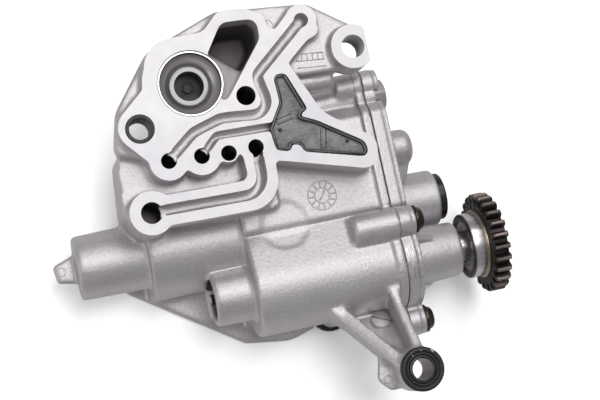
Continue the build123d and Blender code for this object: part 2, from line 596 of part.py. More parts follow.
with BuildPart() as front_bush:
    barrel(PARTING_X + 0.5, FRONT_BOSS_X - 0.6, BUSH_R, SHAFT_AXIS)
    barrel(PARTING_X + 0.5, FRONT_BOSS_X - 0.6, SHAFT_R + RUNNING_GAP, SHAFT_AXIS, mode=Mode.SUBTRACT)
front_bush.part.label = "front_bush"

with BuildPart() as driving_pump_gear:
    with BuildSketch(along(PARTING_X - END_GAP / 2 - PUMP_GEAR_WIDTH, *SHAFT_AXIS)):
        draw_gear(PUMP_MODULE, PUMP_TEETH, PUMP_PRESSURE, PUMP_ADDENDUM, PUMP_DEDENDUM, PUMP_BACKLASH, MESH_ANGLE)
        Circle(SHAFT_R + FIT_GAP, mode=Mode.SUBTRACT)
    extrude(amount=PUMP_GEAR_WIDTH)
driving_pump_gear.part.label = "driving_pump_gear"

with BuildPart() as gear_hub:
    turned(SHAFT_AXIS, [(HUB_X, SHAFT_R + FIT_GAP, 0), (HUB_X, 11.0, 0), (HUB_X + 1.6, HUB_R, 0.4),
                        (DRIVE_GEAR_X - 1.2, HUB_R, 0.3), (DRIVE_GEAR_X - 0.8, HUB_R + 0.9, 0),
                        (DRIVE_GEAR_X, HUB_R + 0.9, 0), (DRIVE_GEAR_X, SHAFT_R + FIT_GAP, 0)])
gear_hub.part.label = "gear_hub"

with BuildPart() as drive_gear:
    with BuildSketch(along(DRIVE_GEAR_X, *SHAFT_AXIS)):
        draw_gear(DRIVE_MODULE, DRIVE_TEETH, DRIVE_PRESSURE, 1.0, 1.25, 0.1)
        Circle(SHAFT_R + FIT_GAP, mode=Mode.SUBTRACT)
    extrude(amount=DRIVE_GEAR_WIDTH)
    for face_x, inward in ((DRIVE_GEAR_X, 0.9), (DRIVE_GEAR_X + DRIVE_GEAR_WIDTH, -0.9)):
        turned(SHAFT_AXIS, [(face_x, DRIVE_TIP_R - 0.9, 0), (face_x, DRIVE_TIP_R + 1, 0),
                            (face_x + inward, DRIVE_TIP_R + 1, 0), (face_x + inward, DRIVE_TIP_R, 0)],
               mode=Mode.SUBTRACT)
drive_gear.part.label = "drive_gear"

# Slide unit
with BuildPart() as slide_axle:
    turned(SLIDE_AXIS, [(AXLE_X, 0, 0), (AXLE_X, AXLE_R, 0.5), (AXLE_END_X, AXLE_R, 0.5), (AXLE_END_X, 0, 0)])
slide_axle.part.label = "slide_axle"

with BuildPart() as driven_pump_gear:
    with BuildSketch(along(DRIVEN_GEAR_X, *SLIDE_AXIS)):
        draw_gear(PUMP_MODULE, PUMP_TEETH, PUMP_PRESSURE, PUMP_ADDENDUM, PUMP_DEDENDUM, PUMP_BACKLASH,
                  MESH_ANGLE + 180 + 180 / PUMP_TEETH)
        Circle(AXLE_R + RUNNING_GAP, mode=Mode.SUBTRACT)
    extrude(amount=DRIVEN_GEAR_WIDTH)
driven_pump_gear.part.label = "driven_pump_gear"

with BuildPart() as rear_piston:
    turned(SLIDE_AXIS, [(REAR_PISTON_BACK_X, SPRING_POCKET_R, 0), (REAR_PISTON_BACK_X, PISTON_R, 0.6),
                        (REAR_PISTON_X, PISTON_R, 0), (REAR_PISTON_X, AXLE_R + FIT_GAP, 0),
                        (AXLE_X - 0.2, AXLE_R + FIT_GAP, 0), (AXLE_X - 0.2, 0, 0),
                        (SPRING_SEAT_X, 0, 0), (SPRING_SEAT_X, SPRING_POCKET_R, 0)])
rear_piston.part.label = "rear_piston"

with BuildPart() as front_piston:
    turned(SLIDE_AXIS, [(SHOE_X, AXLE_R + FIT_GAP, 0), (SHOE_X, PISTON_R, 0), (SHOE_X + SHOE_LENGTH, PISTON_R, 0),
                        (SHOE_X + SHOE_LENGTH, STEM_R, 0), (STEM_END_X, STEM_R, 0.6), (STEM_END_X, 0, 0),
                        (AXLE_END_X + 0.2, 0, 0), (AXLE_END_X + 0.2, AXLE_R + FIT_GAP, 0)])
    barrel(SHOE_X, SHOE_X + SHOE_LENGTH, CHAMBER_R, SHAFT_AXIS, mode=Mode.SUBTRACT)
front_piston.part.label = "front_piston"

with BuildPart() as displacement_spring:
    coil(SLIDE_AXIS, TUBE_END_X + WALL_END + 0.1, SPRING_SEAT_X - 0.1, 7.6, 1.3, 11)
displacement_spring.part.label = "displacement_spring"

with BuildPart() as end_cap:
    turned(SLIDE_AXIS, [(CUP_X - CAP_SEAT + 0.1, 0, 0), (CUP_X - CAP_SEAT + 0.1, CAP_R - FIT_GAP, 0.5),
                        (CUP_X + CAP_HEAD, CAP_R - FIT_GAP, 1), (CUP_X + CAP_HEAD, 7, 0),
                        (CUP_X + CAP_HEAD - 1, 6, 0), (CUP_X + CAP_HEAD - 1, 0, 0)])
end_cap.part.label = "end_cap"

# Control valve behind the hexagon plug
with BuildPart() as control_piston:
    turned(VALVE_AXIS, [(CONTROL_X, 0, 0), (CONTROL_X, 2.2, 0), (CONTROL_X + 1.5, 2.2, 0),
                        (CONTROL_X + 1.5, VALVE_R - RUNNING_GAP, 0.4), (CONTROL_X + 5.5, VALVE_R - RUNNING_GAP, 0),
                        (CONTROL_X + 5.5, 3.4, 0), (CONTROL_X + 9, 3.4, 0), (CONTROL_X + 9, VALVE_R - RUNNING_GAP, 0),
                        (CONTROL_END_X, VALVE_R - RUNNING_GAP, 0.4), (CONTROL_END_X, 2.6, 0),
                        (CONTROL_END_X - 4, 2.6, 0), (CONTROL_END_X - 4, 0, 0)])
control_piston.part.label = "control_piston"

with BuildPart() as valve_plug:
    turned(VALVE_AXIS, [(PARTING_X + 0.3, 3.2, 0), (PARTING_X + 0.3, PLUG_R - FIT_GAP, 0.5),
                        (PLUG_FACE_X, PLUG_R - FIT_GAP, 0), (PLUG_FACE_X, 0, 0), (PLUG_FACE_X - 1.5, 0, 0),
                        (PLUG_FACE_X - 1.5, 3.2, 0)])
    with BuildSketch(along(PLUG_FACE_X, *VALVE_AXIS)):
        RegularPolygon(PLUG_HEX / 2, 6, major_radius=False, rotation=30)
    extrude(amount=PLUG_HEAD)
    turned(VALVE_AXIS, [(PLUG_FACE_X + PLUG_HEAD - 1.2, PLUG_HEX / 2 + 1.4, 0),
                        (PLUG_FACE_X + PLUG_HEAD, PLUG_HEX / 2 - 0.4, 0),
                        (PLUG_FACE_X + PLUG_HEAD, PLUG_HEX / 2 + 1.4, 0)], mode=Mode.SUBTRACT)
valve_plug.part.label = "valve_plug"

with BuildPart() as valve_washer:
    barrel(COVER_X - SPOT_DEPTH, PLUG_FACE_X, PLUG_R + 1.1, VALVE_AXIS)
    barrel(COVER_X - SPOT_DEPTH, PLUG_FACE_X, PLUG_R + FIT_GAP, VALVE_AXIS, mode=Mode.SUBTRACT)
valve_washer.part.label = "valve_washer"

with BuildPart() as control_spring:
    coil(VALVE_AXIS, CONTROL_END_X - 3.9, PLUG_FACE_X - 1.6, 2.0, 0.45, 8)
control_spring.part.label = "control_spring"

# Relief valve in the blind boss of the cover
with BuildPart() as relief_piston:
    turned(RELIEF_AXIS, [(PARTING_X + 0.1, 0, 0), (PARTING_X + 0.1, RELIEF_R - RUNNING_GAP, 0.5),
                         (RELIEF_PISTON_END_X, RELIEF_R - RUNNING_GAP, 0.3), (RELIEF_PISTON_END_X, 2.8, 0),
                         (PARTING_X + 2, 2.8, 0), (PARTING_X + 2, 0, 0)])
relief_piston.part.label = "relief_piston"

with BuildPart() as relief_spring:
    coil(RELIEF_AXIS, PARTING_X + 2.1, PARTING_X + RELIEF_BORE - 0.1, 2.1, 0.45, 7)
relief_spring.part.label = "relief_spring"

# Fittings of the mounting face
with BuildPart() as dowel_sleeve:
    ring((0, 0), SLEEVE_BORE_R, SLEEVE_HOLE_R - FIT_GAP, PLATE_Z + 2, 0.4, 0.3)
dowel_sleeve.part.label = "dowel_sleeve"

with BuildPart() as leg_bush:
    ring(LEG_AT, LEG_BUSH_BORE_R, LEG_HOLE_R - FIT_GAP, LEG_Z, 0, 0.3)
leg_bush.part.label = "leg_bush"

with BuildPart() as leg_ring:
    ring(LEG_AT, LEG_HOLE_R, LEG_EYE_R, LEG_TOP_Z, -0.1, 0.6)
leg_ring.part.label = "leg_ring"

with BuildPart() as inlet_seal:
    ring(INLET_AT, INLET_R + FIT_GAP, INLET_RING_R, BACK_Z + 0.5, BACK_Z + 5.5, 1.5)
inlet_seal.part.label = "inlet_seal"

with BuildPart() as port_seat:
    ring(PORT_AT, SEAT_RING_R, SEAT_R - FIT_GAP, SEAT_END_Z, SEAT_Z, 0.4)
port_seat.part.label = "port_seat"

with BuildPart() as check_valve:
    turned_upright(PORT_AT, [(0, VALVE_TOP_Z, 0), (1.9, VALVE_TOP_Z, 0.2), (1.9, VALVE_TOP_Z - 0.9, 0),
                             (SEAT_BORE_R - RUNNING_GAP, VALVE_TOP_Z - 0.9, 0.4),
                             (SEAT_BORE_R - RUNNING_GAP, VALVE_TOP_Z - 5, 0), (5.2, VALVE_TOP_Z - 5, 0),
                             (5.2, VALVE_TOP_Z - 2.5, 0), (1.5, VALVE_TOP_Z - 2.5, 0), (1.5, VALVE_TOP_Z - 9, 0),
                             (0, VALVE_TOP_Z - 9, 0)])
check_valve.part.label = "check_valve"

with BuildPart() as check_spring:
    spring_top = VALVE_TOP_Z - 2.6
    spring_height = spring_top - PORT_FLOOR_Z - 1.2
    with BuildLine() as spring_line:
        Helix(spring_height / 5, spring_height, 3.6, center=(*PORT_AT, PORT_FLOOR_Z + 0.6))
    spring_wire = spring_line.line.edges()[0]
    with BuildSketch(Plane(origin=spring_wire @ 0, z_dir=spring_wire % 0)) as spring_section:
        RegularPolygon(0.55, 8)
    sweep(spring_section.sketch, path=spring_wire, is_frenet=True)
check_spring.part.label = "check_spring"

with BuildPart() as insert_seal:
    with BuildSketch(Plane.XY.offset(POCKET_Z)):
        rounded(POCKET_OUTLINE)
        offset(amount=-POCKET_GAP)
    extrude(amount=-POCKET_Z - 0.2)
    with BuildSketch(Plane.XY.offset(POCKET_Z)):
        rounded(POCKET_OUTLINE)
        offset(amount=-POCKET_GAP - SEAL_WIDTH)
    extrude(amount=-POCKET_Z, mode=Mode.SUBTRACT)
insert_seal.part.label = "insert_seal"

with BuildPart() as insert_plate:
    with BuildSketch(Plane.XY.offset(POCKET_Z)):
        rounded(POCKET_OUTLINE)
        offset(amount=-POCKET_GAP - SEAL_WIDTH - FACE_GAP)
    extrude(amount=-POCKET_Z - 1.4)
    for start, end in (((56.9, -7.5), (63.9, -6.0)), ((75.9, -13.9), (74.2, -22.1))):
        wall(start, end, [(0, POCKET_Z + 1), (0, -0.9), (1, -0.9), (1, POCKET_Z + 1)], 0.9)
insert_plate.part.label = "insert_plate"

for piece in (pump_housing, pump_cover, cover_screws, cover_dowels, drive_shaft, rear_bush, front_bush,
              driving_pump_gear, gear_hub, drive_gear, slide_axle, driven_pump_gear, rear_piston, front_piston,
              displacement_spring, end_cap, control_piston, valve_plug, valve_washer, control_spring, relief_piston,
              relief_spring, dowel_sleeve, leg_bush, leg_ring, inlet_seal, port_seat, check_valve, check_spring,
              insert_seal, insert_plate):
    export_step(piece.part, f"parts/{piece.part.label}.step")
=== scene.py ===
# %% [markdown]
# # Engine oil pump
# The pump lies on its back on a white table. Its construction comes in as a fixed frame of CAD nodes, and this
# script gives each of them its finish: die-cast skins with soft corners, milled and bored faces, ground steel, a
# dark hardened gear, black screws and moulded rubber.
#
# The shapes could all be modelled again here, but a loaded frame keeps every bore and axis where the
# construction has it. Places are written in millimetres, as on a drawing, and MM turns them into metres.

# %% Load the frame
import json
from collections import namedtuple
from math import cos, pi, radians, sin

import bmesh
import bpy
from mathutils import Matrix, Vector

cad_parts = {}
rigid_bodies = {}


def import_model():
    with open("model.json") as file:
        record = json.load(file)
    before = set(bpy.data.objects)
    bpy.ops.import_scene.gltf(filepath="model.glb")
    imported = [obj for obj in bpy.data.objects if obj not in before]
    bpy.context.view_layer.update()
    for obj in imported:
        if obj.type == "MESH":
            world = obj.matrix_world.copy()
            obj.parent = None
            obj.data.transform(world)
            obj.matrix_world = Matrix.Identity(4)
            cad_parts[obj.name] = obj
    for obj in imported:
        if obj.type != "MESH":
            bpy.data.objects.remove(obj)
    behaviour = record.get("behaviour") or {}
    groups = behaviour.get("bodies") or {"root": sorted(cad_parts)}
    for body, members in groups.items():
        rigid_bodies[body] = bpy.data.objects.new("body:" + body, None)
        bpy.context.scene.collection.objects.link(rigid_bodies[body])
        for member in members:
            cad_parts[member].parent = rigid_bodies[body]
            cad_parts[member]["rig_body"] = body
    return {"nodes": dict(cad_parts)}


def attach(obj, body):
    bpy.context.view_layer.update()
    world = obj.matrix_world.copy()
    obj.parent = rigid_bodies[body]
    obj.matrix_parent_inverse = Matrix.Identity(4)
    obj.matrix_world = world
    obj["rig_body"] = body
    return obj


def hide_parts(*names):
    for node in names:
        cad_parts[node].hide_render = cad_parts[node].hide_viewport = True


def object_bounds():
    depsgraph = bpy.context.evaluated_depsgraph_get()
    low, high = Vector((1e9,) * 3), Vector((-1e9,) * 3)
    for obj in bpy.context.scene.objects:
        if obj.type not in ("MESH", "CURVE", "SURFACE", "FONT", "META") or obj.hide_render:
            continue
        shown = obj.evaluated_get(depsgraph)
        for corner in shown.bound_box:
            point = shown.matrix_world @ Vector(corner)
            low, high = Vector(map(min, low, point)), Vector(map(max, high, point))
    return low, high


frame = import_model()
nodes = frame["nodes"]
cad_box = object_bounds()
MM = 0.001

# %% [markdown]
# ## Camera
# The photograph looks down on the mounting face, tilted a little to the left and to the front. A camera could be
# aimed at a target, but its roll would then be found by trial. Here it is set by where it stands and by three
# directions: right, up and back. Writing them as one matrix keeps the roll exact.

# %% Camera
CAMERA_AT = Vector((-68.422, -87.896, 588.365)) * MM
CAMERA_RIGHT = Vector((0.95862, -0.21064, 0.19151))
CAMERA_UP = Vector((0.19051, 0.97453, 0.11826))
LENS_MM = 87.0
CLIP_FROM = 0.01

bpy.context.scene.view_settings.view_transform = "Standard"
camera = bpy.data.objects.new("camera", bpy.data.cameras.new("camera"))
camera.data.lens = LENS_MM
camera.data.clip_start = CLIP_FROM
bpy.context.scene.collection.objects.link(camera)
bpy.context.scene.camera = camera
back = CAMERA_RIGHT.cross(CAMERA_UP).normalized()
turn = Matrix((CAMERA_RIGHT, back.cross(CAMERA_RIGHT), back)).transposed().to_4x4()
camera.matrix_world = Matrix.Translation(CAMERA_AT) @ turn
print("camera:", LENS_MM, "mm lens,", round(CAMERA_AT.length, 3), "m from the locating sleeve")

# %% [markdown]
# ## Node writing
# A finish could be drawn as a chart of boxes, but it is easier to read as arithmetic. Wire holds the output of a
# node and turns Python's operators into Math nodes.

# %% Wire
class Wire:
    """The output of a node, with arithmetic."""

    def __init__(self, graph, socket):
        self.graph, self.socket = graph, socket

    def math(self, operation, *values, clamp=False):
        return self.graph.node("Math", {"operation": operation, "use_clamp": clamp},
                               dict(enumerate(values or (self,))))

    def __add__(self, other):
        return self.math("ADD", self, other)

    def __radd__(self, other):
        return self.math("ADD", other, self)

    def __sub__(self, other):
        return self.math("SUBTRACT", self, other)

    def __rsub__(self, other):
        return self.math("SUBTRACT", other, self)

    def __mul__(self, other):
        return self.math("MULTIPLY", self, other)

    def __rmul__(self, other):
        return self.math("MULTIPLY", other, self)

    def over(self, level, softness):
        """1 above the level, 0 below it, with a soft step between."""
        return self.math("MULTIPLY", self.math("SUBTRACT", self, level - softness / 2), 1 / softness,
                         clamp=True)

    def past(self, level, softness):
        """The same step for a place or a distance, with the level and the softness in millimetres."""
        return self.over(level * MM, softness * MM)


# %% [markdown]
# Every other kind of node comes from one method, which takes its type, its settings and what goes into its
# sockets. Graph has that method for any node tree, the studio's too, and Finish is the graph of one material.

# %% Graph
class Graph:
    """A node tree and the method that adds nodes to it."""

    def __init__(self, tree):
        self.tree = tree

    def node(self, kind, settings=None, sockets=None, output=0):
        made = self.tree.nodes.new("ShaderNode" + kind)
        for name, value in (settings or {}).items():
            if name == "stops":
                ramp = made.color_ramp.elements
                while len(ramp) < len(value):
                    ramp.new(0.5)
                for element, (at, colour) in zip(ramp, value):
                    element.position, element.color = at, colour
            else:
                setattr(made, name, value)
        for name, value in (sockets or {}).items():
            self.plug(made.inputs[name], value)
        return Wire(self, made.outputs[output])

    def plug(self, socket, value):
        """A wire is linked to the socket, and any other value is set on it."""
        if isinstance(value, Wire):
            self.tree.links.new(value.socket, socket)
        else:
            socket.default_value = value

    def show(self, wire, output_type):
        """The graph's output shows this wire."""
        self.plug(next(n for n in self.tree.nodes if n.type == output_type).inputs["Surface"], wire)


# %% [markdown]
# A finish adds what the materials of this pump need: how far a point lies along or from an axis, noise, the rings
# of a tool, a blend of two colours and a bump. They all read Object coordinates, which stay with a piece wherever
# the camera stands, and which need no unwrapping.

# %% Finish
class Finish(Graph):
    """A material with one Principled shader. Constants go on the shader's own sockets."""

    def __init__(self, name, **constants):
        self.material = bpy.data.materials.new(name)
        self.material.use_nodes = True
        super().__init__(self.material.node_tree)
        self.shader = next(n for n in self.tree.nodes if n.type == "BSDF_PRINCIPLED")
        self.shade(**constants)
        self.place = self.node("TexCoord", output="Object")

    def shade(self, **sockets):
        for name, value in sockets.items():
            self.plug(self.shader.inputs[name.replace("_", " ")], value)

    def stretched(self, x, y, z):
        """Object coordinates, scaled along each axis."""
        return self.node("Mapping", {}, {"Vector": self.place, "Scale": (x, y, z)})

    def along(self, axis):
        """How far along X, Y or Z (0, 1 or 2) a point lies."""
        return self.node("SeparateXYZ", {}, {"Vector": self.place}, output=axis)

    def radius(self, axis, centre):
        """Distance of a point from a line along one axis: centre gives the two other coordinates."""
        first, second = [self.along(a) - c for a, c in zip([a for a in range(3) if a != axis], centre)]
        return (first * first + second * second).math("SQRT")

    def noise(self, scale, detail=2.0, vector=None, roughness=0.5):
        return self.node("TexNoise", {}, {"Vector": vector or self.place, "Scale": scale, "Detail": detail,
                                          "Roughness": roughness})

    def rings(self, distance, scale):
        """Noise that only changes with a distance, as a tool leaves on a turned face."""
        return self.noise(1.0, detail=3.0, vector=self.node("CombineXYZ", {}, {"X": distance * scale}))

    def blend(self, factor, first, second):
        """Colour between two colours."""
        return self.node("Mix", {"data_type": "RGBA"}, {0: factor, 6: first, 7: second}, output=2)

    def bump(self, height, depth, strength):
        """Dents and ridges that follow a height, with their depth in millimetres."""
        return self.node("Bump", {}, {"Height": height, "Distance": depth * MM, "Strength": strength})


def grey(level, warm=0.0):
    """A grey as a colour, a little warmer or cooler."""
    return (level * (1 + warm), level, level * (1 - warm), 1.0)


# %% [markdown]
# ## Studio
# A white table fills the picture and the pump throws a soft shadow on it. More light would make the table white,
# but it would burn out the castings. So the table is an ordinary pale surface to every ray but the camera's. To
# the camera it answers twice and glows a little, so that it reads as white while its shadow stays.

# %% Table
FLOOR_Z = cad_box[0].z
TABLE_RADIUS = 4.0
TABLE_GLOW = 0.08

table_finish = Finish("white_table", Base_Color=(0.82, 0.82, 0.82, 1), Roughness=0.9)
pale = Wire(table_finish, table_finish.shader.outputs[0])
doubled = table_finish.node("AddShader", {}, {0: pale, 1: pale})
glow = table_finish.node("Emission", {}, {"Strength": TABLE_GLOW})
white = table_finish.node("AddShader", {}, {0: doubled, 1: glow})
to_camera = table_finish.node("LightPath", output="Is Camera Ray")
choice = table_finish.node("MixShader", {}, {0: to_camera, 1: pale, 2: white})
table_finish.show(choice, "OUTPUT_MATERIAL")

bm = bmesh.new()
bmesh.ops.create_circle(bm, cap_ends=True, segments=96, radius=TABLE_RADIUS)
bmesh.ops.translate(bm, verts=bm.verts, vec=(0, 0, FLOOR_Z))
table_mesh = bpy.data.meshes.new("table")
bm.to_mesh(table_mesh)
bm.free()
table_mesh.materials.append(table_finish.material)
table = bpy.data.objects.new("table", table_mesh)
bpy.context.scene.collection.objects.link(table)
print("table:", round(-FLOOR_Z, 4), "m below the mounting face")

# %% [markdown]
# The room behind the table is lit by a weak, slightly blue sky, which fills the shadows. A picture of a real
# studio could light it, but a plain colour is enough here. The camera sees plain white in its place.

# %% Background
SKY_COLOUR, SKY_STRENGTH = (0.96, 0.97, 1.0, 1), 0.30

world = bpy.data.worlds.new("studio")
bpy.context.scene.world = world
world.use_nodes = True
studio = Graph(world.node_tree)
sky = studio.tree.nodes["Background"]
sky.inputs["Color"].default_value = SKY_COLOUR
sky.inputs["Strength"].default_value = SKY_STRENGTH
white = studio.node("Background", {}, {"Color": (1, 1, 1, 1)})
to_camera = studio.node("LightPath", output="Is Camera Ray")
choice = studio.node("MixShader", {}, {0: to_camera, 1: Wire(studio, sky.outputs[0]), 2: white})
studio.show(choice, "OUTPUT_WORLD")
print("sky:", SKY_STRENGTH)

# %% [markdown]
# ### Lamps
# Soft boxes light a product photograph, and a square area lamp is Blender's soft box. A sun or a small lamp would
# be simpler, but its shadow would have hard edges. One large lamp hangs overhead, one stands beyond the upper
# side and draws the shadow towards the viewer, and a weak warm one fills from the left.

# %% Lamps
MIDDLE = (0.05, -0.04, -0.03)


def lamp(name, at, size, watts, colour=(1, 1, 1)):
    """A square soft box at a point, turned to face the pump. It is not seen by the camera itself."""
    data = bpy.data.lights.new(name, "AREA")
    data.shape, data.size, data.energy, data.color = "SQUARE", size, watts, colour
    light = bpy.data.objects.new(name, data)
    light.location = at
    light.rotation_euler = (Vector(MIDDLE) - Vector(at)).to_track_quat("-Z", "Y").to_euler()
    light.visible_camera = False
    bpy.context.scene.collection.objects.link(light)
    print("lamp:", name, watts, "W")


lamp("overhead", (0.32, 0.40, 2.6), 1.0, 21.0)
lamp("upper_side", (0.6, 1.5, 2.0), 1.0, 11.0)
lamp("left_side", (-2.0, -0.2, 1.0), 1.1, 6.0, (1.0, 0.97, 0.95))

# %% [markdown]
# ## Places on the pump
# Finishes and pieces both need the main axes of the construction, so these are named once, in the frame of the
# pump: its origin is the locating sleeve on the mounting face, X runs along the shaft to the gear, and Z points
# out of the face. A line along X is given by its y and z, and an upright one by its x and y.

# %% Places
SHAFT = (-73.7, -33.5)
PORT = (24.5, 15.0)
PARTING_X = 102.2
END_BORE_FROM, END_BORE_TO, END_BORE_R = 18.7, 23.8, 9.0


def metres(*values):
    return [v * MM for v in values]


print("shaft to port:", round(PORT[1] - SHAFT[0], 1), "mm across")

# %% [markdown]
# ## Finishes
# Each finish is written from what made the surface, because that also tells where it changes. Photographs of
# metal could be wrapped round the parts, but they would stretch at corners and carry their own light.
#
# Shot blasting leaves a fine grain on the castings, over slow clouds of tone and a few stains. Thin brown lines
# mark the parting joint and a line on the cover's edge, and a third one is painted shadow under the step of the
# housing flange. Deep in a cavity the walls get painted shade, darker towards lower x.

# %% Castings
GRAIN_SHADE = (0.32, 0.29, 0.30, 1)
SEAM_AND_SHADE_BROWN = (0.09, 0.065, 0.06, 1)
# the parting joint, a line on the cover's edge, and painted shadow under the housing flange's step
SEAMS_AND_STEP_SHADE = ((PARTING_X, 0.2, 0.7), (107.05, 0.14, 0.45), (98.1, 0.3, 0.4))
SEAMS_BELOW = 14.5
CAVITY_DEPTH = 9.5


def seam_and_step_shade(finish, tone, station, half, strength):
    """Brown line across the shaft, for a joint and for painted step shadow: half its width, both in millimetres.
    """
    away = (finish.along(0) - station * MM).math("ABSOLUTE")
    return finish.blend((1 - away.past(half, half)) * strength, tone, SEAM_AND_SHADE_BROWN)


def blasted_casting(name, sunk=0.0):
    """Shot-blasted die casting. Below the sunk depth, in millimetres, a cavity's walls get painted shade."""
    finish = Finish(name, Metallic=0.45 if sunk else 0.8)
    grain = finish.noise(1150.0, detail=3.0, roughness=0.62)
    pits = finish.noise(480.0, detail=2.0)
    cloud = finish.noise(30.0, detail=4.0)
    stain = finish.noise(85.0, detail=5.0, roughness=0.65)
    depth = finish.along(2) * -1
    tone = finish.blend(cloud.over(0.5, 0.5), (0.64, 0.605, 0.625, 1), (0.76, 0.735, 0.745, 1))
    tone = finish.blend(stain.over(0.66, 0.16) * 0.35, tone, (0.52, 0.475, 0.49, 1))
    tone = finish.blend(grain.over(0.52, 0.42) * 0.4, tone, GRAIN_SHADE)
    # brown joint lines, and painted shadow under the flange's step
    for station, half, strength in SEAMS_AND_STEP_SHADE:
        tone = seam_and_step_shade(finish, tone, station, half, depth.past(SEAMS_BELOW, 1.0) * strength)
    if sunk:
        # painted shade on a cavity's deep walls, darker towards lower x
        pit_shade = finish.blend(finish.along(0).past(50.0, 14.0), (0.13, 0.112, 0.117, 1), (0.27, 0.245, 0.25, 1))
        tone = finish.blend(depth.past(sunk, 3.5), tone, pit_shade)
    finish.shade(Base_Color=tone, Roughness=0.43 + cloud * 0.12,
                 Normal=finish.bump(grain * 0.8 + pits * 0.5, 0.26, 0.6))
    return finish.material


CAST = blasted_casting("blasted_casting")
CAVITY = blasted_casting("cast_cavity_shaded", CAVITY_DEPTH)
print("castings:", len(CAST.node_tree.nodes), "nodes in the plain one")

# %% [markdown]
# The flash on the cover's edge was filed off in short strokes along the shaft. A noise that is stretched along
# them gives their direction, and the grain and the brown joint lines of the casting go on over it.

# %% Trimmed edge
def trimmed_edge():
    """The cover's edge, where the flash was filed off in short strokes."""
    finish = Finish("trimmed_edge", Metallic=0.8)
    strokes = finish.noise(1.0, detail=2.0, vector=finish.stretched(1500.0, 420.0, 420.0))
    grain = finish.noise(1150.0, detail=3.0, roughness=0.62)
    tone = finish.blend(strokes.over(0.5, 0.3), (0.50, 0.465, 0.475, 1), (0.74, 0.715, 0.725, 1))
    tone = finish.blend(grain.over(0.52, 0.42) * 0.3, tone, GRAIN_SHADE)
    for station, half in ((PARTING_X, 0.22), (107.05, 0.14)):
        tone = seam_and_step_shade(finish, tone, station, half, 0.55)
    finish.shade(Base_Color=tone, Roughness=0.42, Normal=finish.bump(strokes * 0.8 + grain * 0.4, 0.3, 0.6))
    return finish.material


TRIMMED = trimmed_edge()
print("trimmed edge:", len(TRIMMED.node_tree.nodes), "nodes")

# %% [markdown]
# A fly cutter with a long arm milled the mounting face and left faint arcs on it. They are drawn as what they
# are: wide rings round a point far in front of the pump, as a very shallow bump. A thin line of painted shade runs
# round the edge of the port's lip.

# %% Milled face
CUTTER_AT = (20.0, -210.0)
PORT_LIP_R = 13.86


def milled_face():
    finish = Finish("milled_face", Metallic=0.85)
    cutter = metres(-CUTTER_AT[0], -CUTTER_AT[1], 0)
    arc = finish.node("Mapping", {}, {"Vector": finish.place, "Location": cutter})
    sweep = finish.node("TexWave", {"wave_type": "RINGS", "rings_direction": "Z", "wave_profile": "SAW"},
                        {"Vector": arc, "Scale": 300.0, "Distortion": 0.4, "Detail": 2.0})
    wear = finish.noise(180.0, detail=4.0)
    cloud = finish.noise(22.0, detail=2.0)
    tone = finish.blend(wear, (0.55, 0.532, 0.535, 1), (0.655, 0.64, 0.64, 1))
    tone = finish.blend(cloud.over(0.52, 0.3) * 0.5, tone, (0.50, 0.49, 0.525, 1))
    # painted shade along the edge of the port's lip
    lip_edge_shade = (finish.radius(2, metres(*PORT)) - PORT_LIP_R * MM).math("ABSOLUTE")
    tone = finish.blend(1 - lip_edge_shade.past(0.18, 0.12), tone, (0.12, 0.10, 0.11, 1))
    finish.shade(Base_Color=tone, Roughness=0.44 + wear * 0.1, Normal=finish.bump(sweep, 0.008, 0.3))
    return finish.material


MILLED = milled_face()
print("milled face: arcs round", CUTTER_AT)

# %% [markdown]
# The bowl round the port is turned. Its lip and its slope are bright, and painted shade darkens its throat and the
# steep parts between them. Those bands are rings of one colour, so a ramp that is read by the distance from the
# port's axis is the shortest way to write them, and a noise of the same distance adds the tool's lines.

# %% Port bowl
BOWL_FROM, BOWL_WIDTH = 8.3, 5.3


def port_bowl():
    """The turned bowl round the port, from its throat to its lip."""
    finish = Finish("port_bowl", Metallic=0.8)
    r = finish.radius(2, metres(*PORT))
    lines = finish.rings(r, 3800.0)
    # painted shade in the throat and on the steep rings below the lip
    stops = [(0.0, grey(0.05)), (0.12, grey(0.06)), (0.24, (0.22, 0.20, 0.21, 1)),
             (0.42, (0.66, 0.62, 0.65, 1)), (0.70, (0.86, 0.83, 0.85, 1)), (0.82, (0.84, 0.81, 0.83, 1)),
             (0.86, (0.14, 0.12, 0.13, 1)), (0.89, (0.10, 0.09, 0.09, 1)), (0.915, grey(0.85)),
             (1.0, grey(0.9))]
    out = (r - BOWL_FROM * MM) * (1 / (BOWL_WIDTH * MM))
    tone = finish.node("ValToRGB", {"stops": stops}, {"Fac": out})
    finish.shade(Base_Color=finish.blend(lines * 0.3, tone, grey(0.30)), Roughness=0.3 + lines * 0.1,
                 Normal=finish.bump(lines, 0.02, 0.5))
    return finish.material


BOWL = port_bowl()
print("port bowl: from", BOWL_FROM, "to", round(BOWL_FROM + BOWL_WIDTH, 1), "mm")

# %% [markdown]
# A boring bar leaves rings down every hole, and painted shade darkens the holes further in. The open bore at the
# rear end of the shaft lies on its side, so its painted bands run from top to bottom: shade, a bright glint, shade
# again and a paler floor.

# %% Bores
def end_bore():
    """The open bore at the end of the shaft: painted shade at the top and in the middle, with one painted glint.
    """
    finish = Finish("end_bore", Metallic=0.7)
    lines = finish.noise(1.0, detail=3.0, vector=finish.stretched(4200.0, 12.0, 12.0))
    down = ((SHAFT[0] + END_BORE_R) * MM - finish.along(1)) * (1 / (2 * END_BORE_R * MM))
    # painted reflection: shade, a white glint, deep shade, then a paler floor
    stops = [(0.0, grey(0.10)), (0.26, grey(0.16)), (0.29, grey(0.9)), (0.35, grey(0.9)), (0.38, grey(0.03)),
             (0.60, grey(0.025)), (0.66, (0.42, 0.38, 0.39, 1)), (1.0, (0.50, 0.46, 0.47, 1))]
    tone = finish.node("ValToRGB", {"stops": stops}, {"Fac": down})
    finish.shade(Base_Color=finish.blend(lines * 0.3, tone, grey(0.2)), Roughness=0.24 + lines * 0.1)
    return finish.material


